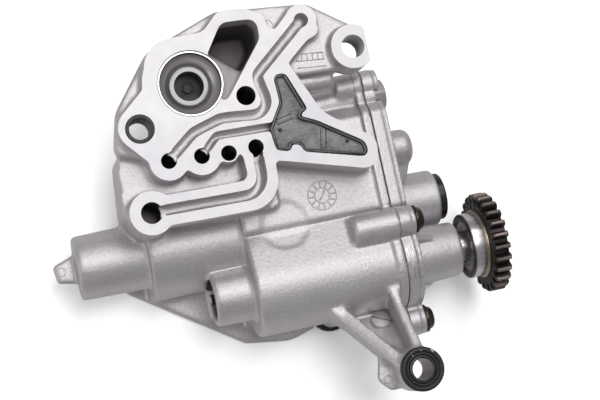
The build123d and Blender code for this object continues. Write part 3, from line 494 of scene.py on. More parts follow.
def bored_alloy():
    """The wall of an upright hole, turned black at its lower end by painted shade."""
    finish = Finish("bored_alloy", Metallic=0.9)
    rings = finish.noise(1.0, detail=2.0, vector=finish.stretched(30.0, 30.0, 3200.0))
    tone = finish.blend(rings, (0.42, 0.39, 0.39, 1), (0.66, 0.63, 0.63, 1))
    # painted shade, black further down the hole
    tone = finish.blend((finish.along(2) * -1).past(6.5, 9.0), tone, (0.03, 0.026, 0.026, 1))
    finish.shade(Base_Color=tone, Roughness=0.26 + rings * 0.1, Normal=finish.bump(rings, 0.01, 0.4))
    return finish.material


BORED = bored_alloy()
END_BORE = end_bore()
print("bores:", BORED.name, "and", END_BORE.name)

# %% [markdown]
# ### Steels
# Turning and grinding leave fine lines round a shaft. They could be cut into the mesh, but they are far finer
# than its faces, so a noise that is squeezed along X draws them as tone and as a very low bump.

# %% Steels
def turned_steel(name, dark, light, rough, lines=1.0):
    finish = Finish(name, Metallic=1.0)
    rings = finish.noise(1.0, detail=3.0, vector=finish.stretched(5200.0 * lines, 12.0, 12.0))
    film = finish.noise(160.0, detail=3.0)
    finish.shade(Base_Color=finish.blend(rings * 0.6 + film * 0.4, dark, light),
                 Roughness=rough + film * 0.12, Normal=finish.bump(rings, 0.02, 0.6))
    return finish.material


STEEL = turned_steel("ground_steel", grey(0.48, 0.01), grey(0.62, 0.01), 0.2)
BRONZE = turned_steel("bush_bronze", (0.42, 0.34, 0.24, 1), (0.60, 0.50, 0.38, 1), 0.28)
ZINC = turned_steel("zinc_plate", (0.50, 0.485, 0.49, 1), (0.62, 0.60, 0.605, 1), 0.5, lines=0.3)
PISTON = turned_steel("turned_alloy", grey(0.58), grey(0.68), 0.3)
print("turned metals:", [m.name for m in (STEEL, BRONZE, ZINC, PISTON)])

# %% [markdown]
# The hub has three zones along the shaft: a dark face on the side of the boss, a bright ring, and a
# straw-coloured collar against the teeth. Three materials could share its faces, but two steps of the X
# coordinate in one material part them as well. The seat in the port is turned about an upright axis, so its
# lines are rings round that.

# %% Hub and seat
HUB_FACE_X, HUB_COLLAR_X = 136.2, 141.6


def turned_hub():
    """Bright ring between a dark face and a straw-coloured collar."""
    finish = Finish("turned_hub", Metallic=1.0)
    x = finish.along(0)
    lines = finish.noise(1.0, detail=3.0, vector=finish.stretched(6000.0, 10.0, 10.0))
    film = finish.noise(210.0, detail=3.0)
    tone = finish.blend(lines, (0.48, 0.45, 0.46, 1), (0.80, 0.775, 0.78, 1))
    tone = finish.blend(x.past(HUB_COLLAR_X, 0.3), tone, (0.50, 0.41, 0.30, 1))
    face = finish.blend(film, (0.10, 0.085, 0.09, 1), (0.20, 0.165, 0.165, 1))
    tone = finish.blend(x.past(HUB_FACE_X, 0.3), face, tone)
    finish.shade(Base_Color=tone, Roughness=0.26 + film * 0.06, Normal=finish.bump(lines, 0.006, 0.4))
    return finish.material


def bright_seat():
    finish = Finish("bright_seat", Metallic=1.0)
    rings = finish.rings(finish.radius(2, metres(*PORT)), 4200.0)
    finish.shade(Base_Color=finish.blend(rings, grey(0.26, 0.01), grey(0.40, 0.01)),
                 Roughness=0.42 + rings * 0.1, Normal=finish.bump(rings, 0.02, 0.5))
    return finish.material


HUB = turned_hub()
SEAT = bright_seat()
print("hub: face up to", HUB_FACE_X, "mm, collar from", HUB_COLLAR_X, "mm")

# %% [markdown]
# The gear is hardened: its flanks are almost black, and the lands of the teeth have worn to a lighter brown. The
# teeth could be painted one by one, but the distance from the shaft's axis tells flanks and lands apart at once.

# %% Gear
LAND_R = 21.7


def hardened_gear():
    finish = Finish("hardened_gear", Metallic=0.8)
    r = finish.radius(0, metres(*SHAFT))
    heat = finish.noise(150.0, detail=4.0)
    fine = finish.noise(1300.0, detail=3.0)
    ring = finish.rings(r, 2600.0)
    flank = finish.blend(heat.over(0.5, 0.4), (0.022, 0.018, 0.017, 1), (0.055, 0.043, 0.040, 1))
    flank = finish.blend(ring.over(0.56, 0.2) * 0.4, flank, (0.13, 0.105, 0.10, 1))
    land = finish.blend(heat, (0.12, 0.094, 0.085, 1), (0.36, 0.295, 0.265, 1))
    finish.shade(Base_Color=finish.blend(r.past(LAND_R, 0.7), flank, land), Roughness=0.3 + fine * 0.16,
                 Normal=finish.bump(fine * 0.6 + ring * 0.4, 0.04, 0.45))
    return finish.material


GEAR = hardened_gear()
print("gear: lands beyond", LAND_R, "mm")

# %% [markdown]
# ### Blacks
# Phosphate on the screws, the mouldings and the rubber all break the light in the same way: a thin film with a
# fine texture, over a slow change of tone. One function with a few measures serves them all. Its numbers are the
# roughness, how much of it is metal, and the scale and depth of the texture.

# %% Blacks
def coated(name, dark, light, rough, metallic, scale=700.0, depth=0.04):
    finish = Finish(name, Metallic=metallic)
    film = finish.noise(scale, detail=3.0)
    cloud = finish.noise(90.0, detail=2.0)
    finish.shade(Base_Color=finish.blend(cloud, dark, light), Roughness=rough + film * 0.15,
                 Normal=finish.bump(film, depth, 0.5))
    return finish.material


BLACK_SCREW = coated("phosphated_steel", (0.03, 0.022, 0.019, 1), (0.075, 0.055, 0.048, 1), 0.2, 0.7)
SLEEVE = coated("black_sleeve", grey(0.008), grey(0.016), 0.38, 0.0)
RUBBER = coated("moulded_rubber", grey(0.014), grey(0.026), 0.36, 0.0)
BLACK_CAP = coated("moulded_cap", grey(0.012), grey(0.02), 0.2, 0.0, 300.0, 0.01)
VALVE = coated("moulded_valve", grey(0.006), grey(0.012), 0.42, 0.0, 300.0, 0.01)
BEAD = coated("insert_bead", grey(0.010), grey(0.018), 0.2, 0.0)
WIRE = coated("spring_wire", grey(0.25), grey(0.35), 0.3, 1.0)
print("coated:", [m.name for m in (BLACK_SCREW, SLEEVE, RUBBER, BLACK_CAP, VALVE, BEAD, WIRE)])

# %% [markdown]
# Three parts need more than a film. The bush in the leg is black only on its top, the rubber ring round it is
# chipped in a few bright specks, and the insert is a glass-filled moulding, mottled by its fibres.

# %% Bush, ring and insert
BUSH_TOP_Z = -0.6


def leg_bush_steel():
    """A ground steel bush whose top is as black as the ring round it."""
    finish = Finish("leg_bush_steel", Metallic=0.8)
    lines = finish.noise(1.0, detail=3.0, vector=finish.stretched(20.0, 20.0, 3600.0))
    wall = finish.blend(lines, (0.30, 0.26, 0.25, 1), (0.46, 0.41, 0.40, 1))
    finish.shade(Base_Color=finish.blend(finish.along(2).past(BUSH_TOP_Z, 0.3), wall, grey(0.03)),
                 Roughness=0.3 + lines * 0.1, Normal=finish.bump(lines, 0.02, 0.5))
    return finish.material


def scratched_rubber():
    finish = Finish("scratched_rubber", Metallic=0.0)
    film = finish.noise(700.0, detail=3.0)
    chips = finish.noise(330.0, detail=1.0)
    tone = finish.blend(film, grey(0.009), grey(0.022))
    finish.shade(Base_Color=finish.blend(chips.over(0.715, 0.02), tone, grey(0.5)),
                 Roughness=0.38 + film * 0.2, Normal=finish.bump(film, 0.05, 0.6))
    return finish.material


def filled_plastic():
    """A glass-filled moulding, mottled and a little glossy."""
    finish = Finish("filled_plastic", Metallic=0.0)
    fibre = finish.noise(1.0, detail=4.0, vector=finish.stretched(420.0, 900.0, 600.0), roughness=0.7)
    cloud = finish.noise(140.0, detail=4.0)
    tone = finish.blend(fibre.over(0.5, 0.3), grey(0.13), grey(0.29))
    tone = finish.blend(cloud.over(0.56, 0.2) * 0.5, tone, grey(0.42))
    finish.shade(Base_Color=tone, Roughness=0.36 + cloud * 0.16, Normal=finish.bump(fibre, 0.09, 0.5))
    return finish.material


BUSH = leg_bush_steel()
RING = scratched_rubber()
INSERT = filled_plastic()
print("own finishes:", [m.name for m in (BUSH, RING, INSERT)])

# %% [markdown]
# Every CAD node gets its finish by name, also those inside the casings and those that a piece replaces later, so
# that no plain solid is left.

# %% Finishes on the frame
finishes = {
    "pump_housing": CAST, "pump_cover": CAST, "cover_screws": BLACK_SCREW, "cover_dowels": STEEL,
    "drive_shaft": STEEL, "rear_bush": BRONZE, "front_bush": BRONZE, "driving_pump_gear": STEEL,
    "gear_hub": HUB, "drive_gear": GEAR, "slide_axle": STEEL, "driven_pump_gear": STEEL,
    "rear_piston": PISTON, "front_piston": PISTON, "displacement_spring": WIRE, "end_cap": BLACK_CAP,
    "control_piston": STEEL, "valve_plug": ZINC, "valve_washer": ZINC, "control_spring": WIRE,
    "relief_piston": STEEL, "relief_spring": WIRE, "dowel_sleeve": SLEEVE, "leg_bush": BUSH,
    "leg_ring": RING, "inlet_seal": RUBBER, "port_seat": SEAT, "check_valve": VALVE, "check_spring": WIRE,
    "insert_seal": BEAD, "insert_plate": INSERT,
}
for name, material in finishes.items():
    mesh = nodes[name].data
    mesh.materials.clear()
    mesh.materials.append(material)
print("finished:", len(finishes), "of", len(nodes), "nodes")

# %% [markdown]
# ## Helpers for pieces
# A new piece is a mesh at the origin that rides on a body of the frame. Its shape is made in a bmesh, Blender's
# mesh for editing, where each operator does one step of a workshop: spin turns a profile, extrude pulls it out.

# %% Pieces
def new_piece(name, mesh, material, body, smooth=True):
    """An object in the scene that rides on a body, with the finish it is given unless its mesh has one."""
    piece = bpy.data.objects.new(name, mesh)
    bpy.context.scene.collection.objects.link(piece)
    if not mesh.materials:
        mesh.materials.append(material)
    if smooth:
        mesh.polygons.foreach_set("use_smooth", [True] * len(mesh.polygons))
    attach(piece, body)
    return piece


def body_of(node):
    return nodes[node]["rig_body"]


def merged(node):
    """A bmesh of a CAD node with its loose triangles joined."""
    bm = bmesh.new()
    bm.from_mesh(nodes[node].data)
    bmesh.ops.remove_doubles(bm, verts=bm.verts, dist=0.000002)
    return bm


def joined(*parts):
    """One bmesh from several."""
    whole = bmesh.new()
    for part in parts:
        mesh = bpy.data.meshes.new("part")
        part.to_mesh(mesh)
        part.free()
        whole.from_mesh(mesh)
        bpy.data.meshes.remove(mesh)
    return whole


# %% [markdown]
# Modifiers do what an operator can't: a voxel remesh, a Boolean cut, or a bevel that only takes sharp edges. They
# are worked out at once here, so that each result can be edited further.

# %% Modifiers
def applied(bm, name, *modifiers):
    """The mesh of a bmesh after these modifiers: each is (type, settings)."""
    mesh = bpy.data.meshes.new(name)
    bm.to_mesh(mesh)
    bm.free()
    work = bpy.data.objects.new(name + "_work", mesh)
    bpy.context.scene.collection.objects.link(work)
    for kind, settings in modifiers:
        modifier = work.modifiers.new(kind.lower(), kind)
        for key, value in settings.items():
            setattr(modifier, key, value)
    result = bpy.data.meshes.new_from_object(work.evaluated_get(bpy.context.evaluated_depsgraph_get()))
    bpy.data.objects.remove(work)
    result.name = name
    return result


def softened(bm, name, width, angle=32.0, segments=2):
    """The mesh of a bmesh with a small round on every edge, and flat faces that stay flat in the light."""
    bevel = {"width": width * MM, "segments": segments, "limit_method": "ANGLE",
             "angle_limit": radians(angle), "harden_normals": False}
    return applied(bm, name, ("BEVEL", bevel), ("WEIGHTED_NORMAL", {"keep_sharp": True}))


# %% [markdown]
# Most parts of a pump are round, so one helper turns a profile as a lathe does. A cylinder would do for a plain
# rod, but a profile also gives steps, lips and grooves in one go.

# %% Turned shapes
ALONG_X, UPRIGHT = 0, 2


def spun(profile, centre, axis, steps):
    """A bmesh turned about a line along X or Z. Each corner is (station on the axis, radius)."""
    bm = bmesh.new()
    if axis == ALONG_X:
        corners = [(x, centre[0] + r, centre[1]) for x, r in profile]
        middle, direction = (0, centre[0] * MM, centre[1] * MM), (1, 0, 0)
    else:
        corners = [(centre[0] + r, centre[1], z) for z, r in profile]
        middle, direction = (centre[0] * MM, centre[1] * MM, 0), (0, 0, 1)
    ring = [bm.verts.new(metres(*corner)) for corner in corners]
    edges = [bm.edges.new(pair) for pair in zip(ring, ring[1:])]
    if profile[0][1] and profile[-1][1]:
        edges.append(bm.edges.new((ring[-1], ring[0])))
    bmesh.ops.spin(bm, geom=ring + edges, cent=middle, axis=direction, dvec=(0, 0, 0), angle=2 * pi,
                   steps=steps, use_merge=True)
    bmesh.ops.remove_doubles(bm, verts=bm.verts, dist=0.000001)
    bmesh.ops.recalc_face_normals(bm, faces=bm.faces)
    return bm


def rod(start, end, r, centre, axis, steps):
    """A solid rod between two stations of a line."""
    return spun([(start, 0), (start, r), (end, r), (end, 0)], centre, axis, steps)


# %% [markdown]
# ## Castings
# A die casting has no sharp corners except where a cutter has been, and the CAD solid is crisp all over. A bevel
# could soften it, but so many small edges meet on this body that a bevel would tear. So it is cast and machined
# again, as the real part was.
#
# First comes the raw casting. A copy of the solid, with its holes plugged and an allowance on its faces, is
# rebuilt as small even quads. It gets its shallow sinks, and is smoothed region by region until its corners
# round off. Regions are (passes, low corner, high corner), and faced planes are (axis, level, side, allowance).

# %% Raw casting
ON_FACE = 0.05


def raw_casting(node, voxel, plugs, faced):
    """A bmesh of even quads round the solid and its plugs."""
    bm = merged(node)
    for axis, level, side, allowance in faced:
        for v in bm.verts:
            if abs(v.co[axis] - level * MM) < ON_FACE * MM:
                v.co[axis] += side * allowance * MM
    remesh = {"mode": "VOXEL", "voxel_size": voxel * MM, "adaptivity": 0.0}
    mesh = applied(joined(bm, *plugs), node + "_raw", ("REMESH", remesh))
    bm = bmesh.new()
    bm.from_mesh(mesh)
    return bm


def sink(bm, dents):
    """Shallow round sinks on level surfaces: (x, y, radius, lowest z, highest z, depth)."""
    for x, y, r, low, high, depth in dents:
        for v in bm.verts:
            if low * MM < v.co.z < high * MM and (v.co.xy - Vector(metres(x, y))).length < r * MM:
                v.co.z -= depth * MM


def round_off(bm, regions):
    """Smooth the corners inside each region as often as it says."""
    for passes, low, high in regions:
        inside = [v for v in bm.verts if all(a * MM < c < b * MM for a, c, b in zip(low, v.co, high))]
        for _ in range(passes):
            bmesh.ops.smooth_vert(bm, verts=inside, factor=0.5, use_axis_x=True, use_axis_y=True,
                                  use_axis_z=True)


# %% [markdown]
# Then it is machined. The holes are bored with Boolean modifiers, and the faces are milled by cutting away the
# allowance with a plane and closing the cut, so that their edges stay crisp. A closed cut gets its own material
# slot. The slots of a casting are numbered once, for all of it.

# %% Machining
SURFACES = (CAST, MILLED, BORED, CAVITY, BOWL, END_BORE, TRIMMED)
AS_CAST, AS_MILLED, AS_BORED, AS_CAVITY, AS_BOWL, AS_END_BORE, AS_TRIMMED = range(len(SURFACES))


def bored(bm, name, share, cutters):
    """The mesh of a raw casting after boring. Share is how much of its triangles is kept, and cutters are groups
    of bmeshes that are cut one after the other."""
    tools, steps = [], [("DECIMATE", {"decimate_type": "COLLAPSE", "ratio": share})]
    for group in cutters:
        cutter = bpy.data.objects.new("cutter", bpy.data.meshes.new("cutter"))
        bpy.context.scene.collection.objects.link(cutter)
        tool = joined(*group)
        tool.to_mesh(cutter.data)
        tool.free()
        tools.append(cutter)
        steps.append(("BOOLEAN", {"operation": "DIFFERENCE", "solver": "EXACT", "object": cutter}))
    mesh = applied(bm, name, *steps)
    for cutter in tools:
        bpy.data.objects.remove(cutter)
    return mesh


def milled(mesh, faced):
    """A bmesh of a mesh whose allowances are cut away."""
    bm = bmesh.new()
    bm.from_mesh(mesh)
    for axis, level, side, allowance in faced:
        normal, place = Vector((0, 0, 0)), Vector((0, 0, 0))
        normal[axis], place[axis] = side, level * MM
        cut = bmesh.ops.bisect_plane(bm, geom=bm.verts[:] + bm.edges[:] + bm.faces[:], plane_co=place,
                                     plane_no=normal, clear_outer=True)
        rim = [e for e in cut["geom_cut"] if isinstance(e, bmesh.types.BMEdge) and e.is_boundary]
        filled = bmesh.ops.triangle_fill(bm, edges=rim, use_beauty=True, normal=normal)
        for face in filled["geom"]:
            if isinstance(face, bmesh.types.BMFace):
                face.material_index = AS_MILLED
    return bm


def cast_skin(node, voxel, share, plugs, dents, regions, cutters, faced):
    """A machined casting in the shape of a CAD node."""
    bm = raw_casting(node, voxel, plugs, faced)
    sink(bm, dents)
    round_off(bm, regions)
    bm = milled(bored(bm, node + "_bored", share, cutters), faced)
    triangles = sum(len(f.verts) - 2 for f in bm.faces)
    print(node, "skin:", len(bm.verts), "verts,", triangles, "triangles")
    mesh = bpy.data.meshes.new(node + "_skin")
    bm.to_mesh(mesh)
    bm.free()
    return mesh


# %% [markdown]
# Which finish a face gets is told by where it lies, because the Boolean modifiers make faces that nobody named. A
# casting is dressed by a rule that takes a face and answers with a material slot. Milled faces know theirs
# already, and they alone are shaded flat.

# %% Dressing
def dress_casting(name, node, mesh, surface_of):
    """The piece of a casting, with a material on each face by a rule, in place of its CAD node."""
    for material in SURFACES:
        mesh.materials.append(material)
    for polygon in mesh.polygons:
        if polygon.material_index == AS_CAST:
            polygon.material_index = surface_of(polygon, polygon.center / MM)
    mesh.polygons.foreach_set("use_smooth", [p.material_index != AS_MILLED for p in mesh.polygons])
    mesh.set_sharp_from_angle(angle=radians(40))
    piece = new_piece(name, mesh, CAST, body_of(node), smooth=False)
    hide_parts(node)


# %% [markdown]
# ### Holes of the housing
# Every upright hole is a row: its place, its radius, its lowest and its top z, and the plug that closes it while
# the casting is smoothed. The plug of a through hole ends where its lug ends, and that of a blind hole just below
# the hole. Its margin is how much wider it is than the hole: wide where the hole stands free in its land, and a
# hair's breadth where a channel or an edge is near.

# %% Holes
Hole = namedtuple("Hole", "x y r low top plug_low margin")
EYE = (96.0, 18.5)
LEG = (95.6, -121.0)
OIL_HOLES = [(9.0, -15.2), (22.8, -15.7), (34.1, -16.6), (45.8, -16.2)]
WIDE, CLOSE = 0.7, 0.02

holes = [Hole(0, 0, 6.1, -17, 0, -15, WIDE), Hole(*EYE, 5.0, -18, 0, -15.6, WIDE),
         Hole(*LEG, 6.0, -20, -2.6, -18, WIDE)]
for i, (x, y) in enumerate(OIL_HOLES):
    holes.append(Hole(x, y, 3.3, -30, 0, -30.5, WIDE if i == 2 else CLOSE))
holes += [Hole(46.2, 5.8, 4.1, -30, 0, -30.5, CLOSE), Hole(-2.2, -34.9, 4.5, -24, 0, -24.5, CLOSE)]
print("housing:", len(holes), "upright holes")

# %% [markdown]
# Plugs fill the upright holes, the stepped port and the two chambers of the pump gears. They reach as far as the
# allowance of the face does.

# %% Plugs
SLIDE = (-48.669, -42.5)
CHAMBER_R, CHAMBER_X, SLIDE_BORE_X = 15.784, 72.2, 6.2
FACE_ALLOWANCE, PARTING_ALLOWANCE = 1.2, 0.15

plugs = []
for h in holes:
    top = FACE_ALLOWANCE if h.top == 0 else h.top
    plugs.append(rod(h.plug_low, top, h.r + h.margin, (h.x, h.y), UPRIGHT, 32))
plugs.append(spun([(-35, 0), (-35, 7.6), (-14, 7.6), (-14, 13.75), (FACE_ALLOWANCE, 13.75),
                   (FACE_ALLOWANCE, 0)], PORT, UPRIGHT, 48))
for axis, x in ((SHAFT, CHAMBER_X), (SLIDE, SLIDE_BORE_X)):
    plugs.append(rod(x + 0.2, PARTING_X + 0.14, CHAMBER_R + CLOSE, axis, ALONG_X, 64))
print("plugs:", len(plugs))

# %% [markdown]
# One cutter made of all the tools would be quicker, but a Boolean cutter mustn't cross itself, so they work in
# two groups. The first has the small mouths where the channels meet their holes, the open bore at the end of the
# shaft and the shaft's chamber. The second has the upright holes, the port and the chamber of the slide.

# %% Cutters
CUT_TOP = 6
CHAMBER_END_X = 104
MOUTHS = [(11.2, -13.5, 2.2, -6.8), (24.6, -13.9, 1.75, -6.8), (46.0, -19.0, 2.25, -8.5),
          (2.4, -34.8, 2.25, -8.5)]
PORT_PROFILE = [(-34, 0), (-34, 6.8), (-13, 6.8), (-13, 8.4), (-7.5, 8.4), (-7.7, 9.2), (-7.3, 10.0),
                (-6.4, 11.0), (-5.0, 12.0), (-3.4, 12.6), (-1.2, 13.0), (-0.7, 13.1), (-0.7, 13.7),
                (CUT_TOP, 13.7), (CUT_TOP, 0)]

first = [rod(low, CUT_TOP, r, (x, y), UPRIGHT, 32) for x, y, r, low in MOUTHS]
first.append(rod(END_BORE_FROM, END_BORE_TO, END_BORE_R, SHAFT, ALONG_X, 64))
first.append(rod(CHAMBER_X, CHAMBER_END_X, CHAMBER_R, SHAFT, ALONG_X, 96))
second = [rod(h.low, CUT_TOP, h.r, (h.x, h.y), UPRIGHT, 48) for h in holes]
second.append(spun(PORT_PROFILE, PORT, UPRIGHT, 96))
second.append(rod(SLIDE_BORE_X, CHAMBER_END_X, CHAMBER_R, SLIDE, ALONG_X, 96))
print("cutters:", len(first), "and", len(second))

# %% [markdown]
# The rule for the housing's faces asks four questions in turn: is it the port's bowl, the wall or floor of a
# hole, the kidney-shaped cavity beside the port, or the open bore at the end? A list of faces could be picked by
# hand instead, but it would be wrong after the next remesh. The cavity is a ring of straight sides, and a place is
# inside when it lies on the same side of each of them.

# %% Rule for the housing
KIDNEY = [(30.9, 21.5), (42.0, 37.9), (57.3, 37.4), (56.9, 28.4), (38.3, 5.5), (31.1, 5.5)]
KIDNEY_LOW, KIDNEY_HIGH, KIDNEY_MARGIN = (30, 4, -37), (59, 40, -0.2), 0.6
BOWL_R, BOWL_LOW, BOWL_HIGH = 13.72, -9, -0.1
BOWL_CLEAR_R = 13.71
NEAR_WALL, NEAR_FLOOR, STEEP = 0.06, 0.03, 0.3
WALLS = [(h.x, h.y, h.r, h.low) for h in holes]
WALLS += [(*PORT, 13.7, -0.7), (*PORT, 8.4, -13.0), (*PORT, 6.8, -34.0)]


def within(c, low, high):
    """Whether a place lies in the box between two corners."""
    return all(a < b < d for a, b, d in zip(low, c, high))


def from_axis(c, x, y):
    """How far a place lies from an upright line."""
    return ((c.x - x) ** 2 + (c.y - y) ** 2) ** 0.5


def is_bored(polygon, c):
    """Whether a face lies on the wall or the floor of an upright hole."""
    for x, y, r, low in WALLS:
        away = from_axis(c, x, y)
        on_wall = c.z > low - NEAR_FLOOR and abs(away - r) < NEAR_WALL and abs(polygon.normal.z) < STEEP
        if on_wall or away < r and abs(c.z - low) < NEAR_FLOOR:
            return True
    return False


def in_kidney(c):
    """Whether a place lies inside the kidney-shaped cavity beside the port."""
    if from_axis(c, *PORT) < BOWL_CLEAR_R or not within(c, KIDNEY_LOW, KIDNEY_HIGH):
        return False
    for (ax, ay), (bx, by) in zip(KIDNEY, KIDNEY[1:] + KIDNEY[:1]):
        length = ((bx - ax) ** 2 + (by - ay) ** 2) ** 0.5
        if (bx - ax) * (c.y - ay) - (by - ay) * (c.x - ax) >= KIDNEY_MARGIN * length:
            return False
    return True


def in_end_bore(c):
    """Whether a place lies on the wall or the floor of the open bore at the rear end of the shaft."""
    away = ((c.y - SHAFT[0]) ** 2 + (c.z - SHAFT[1]) ** 2) ** 0.5
    if abs(c.x - END_BORE_TO) < NEAR_FLOOR:
        return away < END_BORE_R
    return END_BORE_FROM - NEAR_WALL < c.x < END_BORE_TO - NEAR_WALL and abs(away - END_BORE_R) < NEAR_WALL


def housing_surface(polygon, c):
    if BOWL_LOW < c.z < BOWL_HIGH and from_axis(c, *PORT) < BOWL_R:
        return AS_BOWL
    if is_bored(polygon, c):
        return AS_BORED
    if in_kidney(c):
        return AS_CAVITY
    return AS_END_BORE if in_end_bore(c) else AS_CAST


print("kidney:", len(KIDNEY), "sides; walls:", len(WALLS))

# %% [markdown]
# The housing is cast in voxels of 0.8 mm. Smaller ones would follow the solid more closely, but it has few
# details that fine. All of it is smoothed once, all but the flange twice more, and the body below the mounting
# face and the leg three times more, because their fillets are the widest. One shallow sink lies beside the dial.

# %% Housing
EVERYWHERE = ((-200, -200, -100), (200, 200, 100))
DENT = (54.6, -49.2, 10.3, -19.4, -16.2, 0.55)
SMOOTHED = [(1, *EVERYWHERE), (2, (-200, -200, -100), (96, 200, 100)),
            (3, (-200, -82, -64), (96, 200, -13.5)), (3, (72, -108, -21), (101.4, -84, 0.6)),
            (3, (72, -130, -13.6), (101.4, -108, 0.6))]

housing = cast_skin("pump_housing", 0.8, 0.55, plugs, [DENT], SMOOTHED, [first, second],
                    [(2, 0.0, 1, FACE_ALLOWANCE), (0, PARTING_X, 1, PARTING_ALLOWANCE)])
dress_casting("housing_casting", "pump_housing", housing, housing_surface)

# %% [markdown]
# ### Cover
# The cover has finer corners, so its voxels are smaller and it is smoothed evenly. It is milled where it meets
# the housing and on the end of the shaft's boss. The filed part of its edge is told by place and direction.

# %% Cover
BOSS_END_X, BOSS_ALLOWANCE = 131.0, 0.8
FILED_LOW, FILED_HIGH, ACROSS = (102.3, -84, -20), (108.8, -62, 1), 0.5


def cover_surface(polygon, c):
    filed = abs(polygon.normal.x) < ACROSS and within(c, FILED_LOW, FILED_HIGH)
    return AS_TRIMMED if filed else AS_CAST


cover = cast_skin("pump_cover", 0.45, 0.5, [], [], [(2, *EVERYWHERE)], [],
                  [(0, PARTING_X, -1, PARTING_ALLOWANCE), (0, BOSS_END_X, 1, BOSS_ALLOWANCE)])
dress_casting("cover_casting", "pump_cover", cover, cover_surface)

# %% [markdown]
# ## Hub
# The hub is turned from bar: a bright rim, a dished face towards the pump and a collar against the teeth. It
# could be stacked from cylinders, but one profile spun round the shaft gives all of it without inner walls.

# %% Hub
hub = spun([(138.2, 7.02), (137.6, 9.4), (135.9, 11.4), (135.4, 12.2), (135.4, 14.2), (135.7, 14.5),
            (141.2, 14.5), (141.5, 14.2), (141.7, 14.3), (141.8, 15.4), (142.58, 15.4), (142.58, 7.02)],
           SHAFT, ALONG_X, 96)
mesh = softened(hub, "turned_hub", 0.12, 20.0)
piece = new_piece("turned_hub", mesh, HUB, body_of("gear_hub"))
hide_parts("gear_hub")
print("hub:", len(mesh.polygons), "faces")

# %% [markdown]
# ## Softened parts
# The gear keeps the involute teeth of the construction, and the cap, the plug, the rings and the insert keep
# their shapes too. Only their edges are too sharp: tumbling, moulding or a file has taken them off the real ones.
# Flat faces are first freed of the triangles that split them, and then every edge gets a bevel of its own width.

# %% Softened parts
SAME_PLANE = radians(1.0)
EDGES = {
    "drive_gear": (0.2, "hardened_steel"), "end_cap": (0.5, "black_cap"), "valve_plug": (0.3, "zinc_plug"),
    "port_seat": (0.25, "turned_steel"), "dowel_sleeve": (0.3, "black_sleeve"),
    "leg_bush": (0.25, "ground_steel"), "insert_seal": (0.5, "black_rubber"),
    "insert_plate": (0.25, "grey_insert"), "drive_shaft": (0.3, "ground_steel"),
    "check_valve": (0.2, "black_cap"),
}
for node, (width, slot) in EDGES.items():
    bm = merged(node)
    bmesh.ops.dissolve_limit(bm, angle_limit=SAME_PLANE, verts=bm.verts, edges=bm.edges)
    mesh = softened(bm, node + "_soft", width)
    piece = new_piece(node + "_soft", mesh, finishes[node], body_of(node))
    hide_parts(node)
    print(node, "softened:", len(mesh.polygons), "faces")

# %% [markdown]
# ## Screws
# Each cover screw has a thin flange under a low dome, with a lobed socket. Its body is turned. The socket is a
# circle whose radius rises and falls six times, pulled out into a bar that a Boolean modifier takes away. That
# needs no drawing of arcs, and it rounds each lobe evenly.

# %% One screw
COVER_X = 109.6
SOCKET_R, SOCKET_WAVE, LOBES, SOCKET_STEPS = 2.3, 0.14, 6, 48
SOCKET_MOUTH_X, SOCKET_LENGTH = 115.0, 3.6

screw = spun([(86.2, 0), (86.2, 2.4), (86.8, 2.98), (COVER_X, 2.98), (COVER_X, 6.05), (110.9, 6.15),
              (111.2, 5.8), (111.5, 5.1), (112.3, 4.95), (113.1, 4.5), (113.7, 3.8), (114.0, 2.9),
              (114.0, 0)], (0, 0), ALONG_X, 48)
lobes = bmesh.new()
bmesh.ops.create_circle(lobes, cap_ends=True, segments=SOCKET_STEPS, radius=SOCKET_R * MM)
for i, v in enumerate(lobes.verts):
    v.co *= 1 + SOCKET_WAVE * cos(LOBES * 2 * pi * i / SOCKET_STEPS)
bmesh.ops.rotate(lobes, verts=lobes.verts, cent=(0, 0, 0), matrix=Matrix.Rotation(pi / 2, 3, "Y"))
bmesh.ops.translate(lobes, verts=lobes.verts, vec=metres(SOCKET_MOUTH_X, 0, 0))
side = bmesh.ops.extrude_face_region(lobes, geom=lobes.faces[:])
bmesh.ops.translate(lobes, verts=[v for v in side["geom"] if isinstance(v, bmesh.types.BMVert)],
                    vec=metres(-SOCKET_LENGTH, 0, 0))
bmesh.ops.recalc_face_normals(lobes, faces=lobes.faces)
socket = bpy.data.objects.new("socket", bpy.data.meshes.new("socket"))
bpy.context.scene.collection.objects.link(socket)
lobes.to_mesh(socket.data)
lobes.free()
one_screw = applied(screw, "one_screw",
                    ("BOOLEAN", {"operation": "DIFFERENCE", "solver": "EXACT", "object": socket}),
                    ("BEVEL", {"width": 0.18 * MM, "segments": 2, "limit_method": "ANGLE",
                               "angle_limit": radians(40)}))
bpy.data.objects.remove(socket)
print("one screw:", len(one_screw.polygons), "faces")

# %% [markdown]
# Copies of the screw go to their five axes in the cover. They are one mesh, as they are one node of the frame, and
# each is turned by another angle, because no two screws stop alike.

# %% All screws
SCREWS = [(5.5, -42.6), (-58.0, -15.5), (-101.2, -33.0), (-69.0, -56.5), (-8.0, -52.5)]

bm = bmesh.new()
for y, z in SCREWS:
    before = set(bm.verts)
    bm.from_mesh(one_screw)
    moved = [v for v in bm.verts if v not in before]
    bmesh.ops.rotate(bm, verts=moved, cent=(0, 0, 0), matrix=Matrix.Rotation(y, 3, "X"))
    bmesh.ops.translate(bm, verts=moved, vec=metres(0, y, z))
screws = bpy.data.meshes.new("flanged_screws")
bm.to_mesh(screws)
bm.free()
piece = new_piece("flanged_screws", screws, BLACK_SCREW, body_of("cover_screws"))
screws.set_sharp_from_angle(angle=radians(50))
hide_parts("cover_screws")
print("screws:", len(SCREWS), "of", len(one_screw.polygons), "faces")

# %% [markdown]
# ## Ring of the leg and bead of the inlet
# The rubber ring on the leg has a wide outer bead and a thin inner lip with a groove between them, and the ring
# round the oil inlet has one rounded lip. A torus would have neither, so both are turned from their profiles.

# %% Leg ring and inlet bead
INLET = (75.4, -90.2)

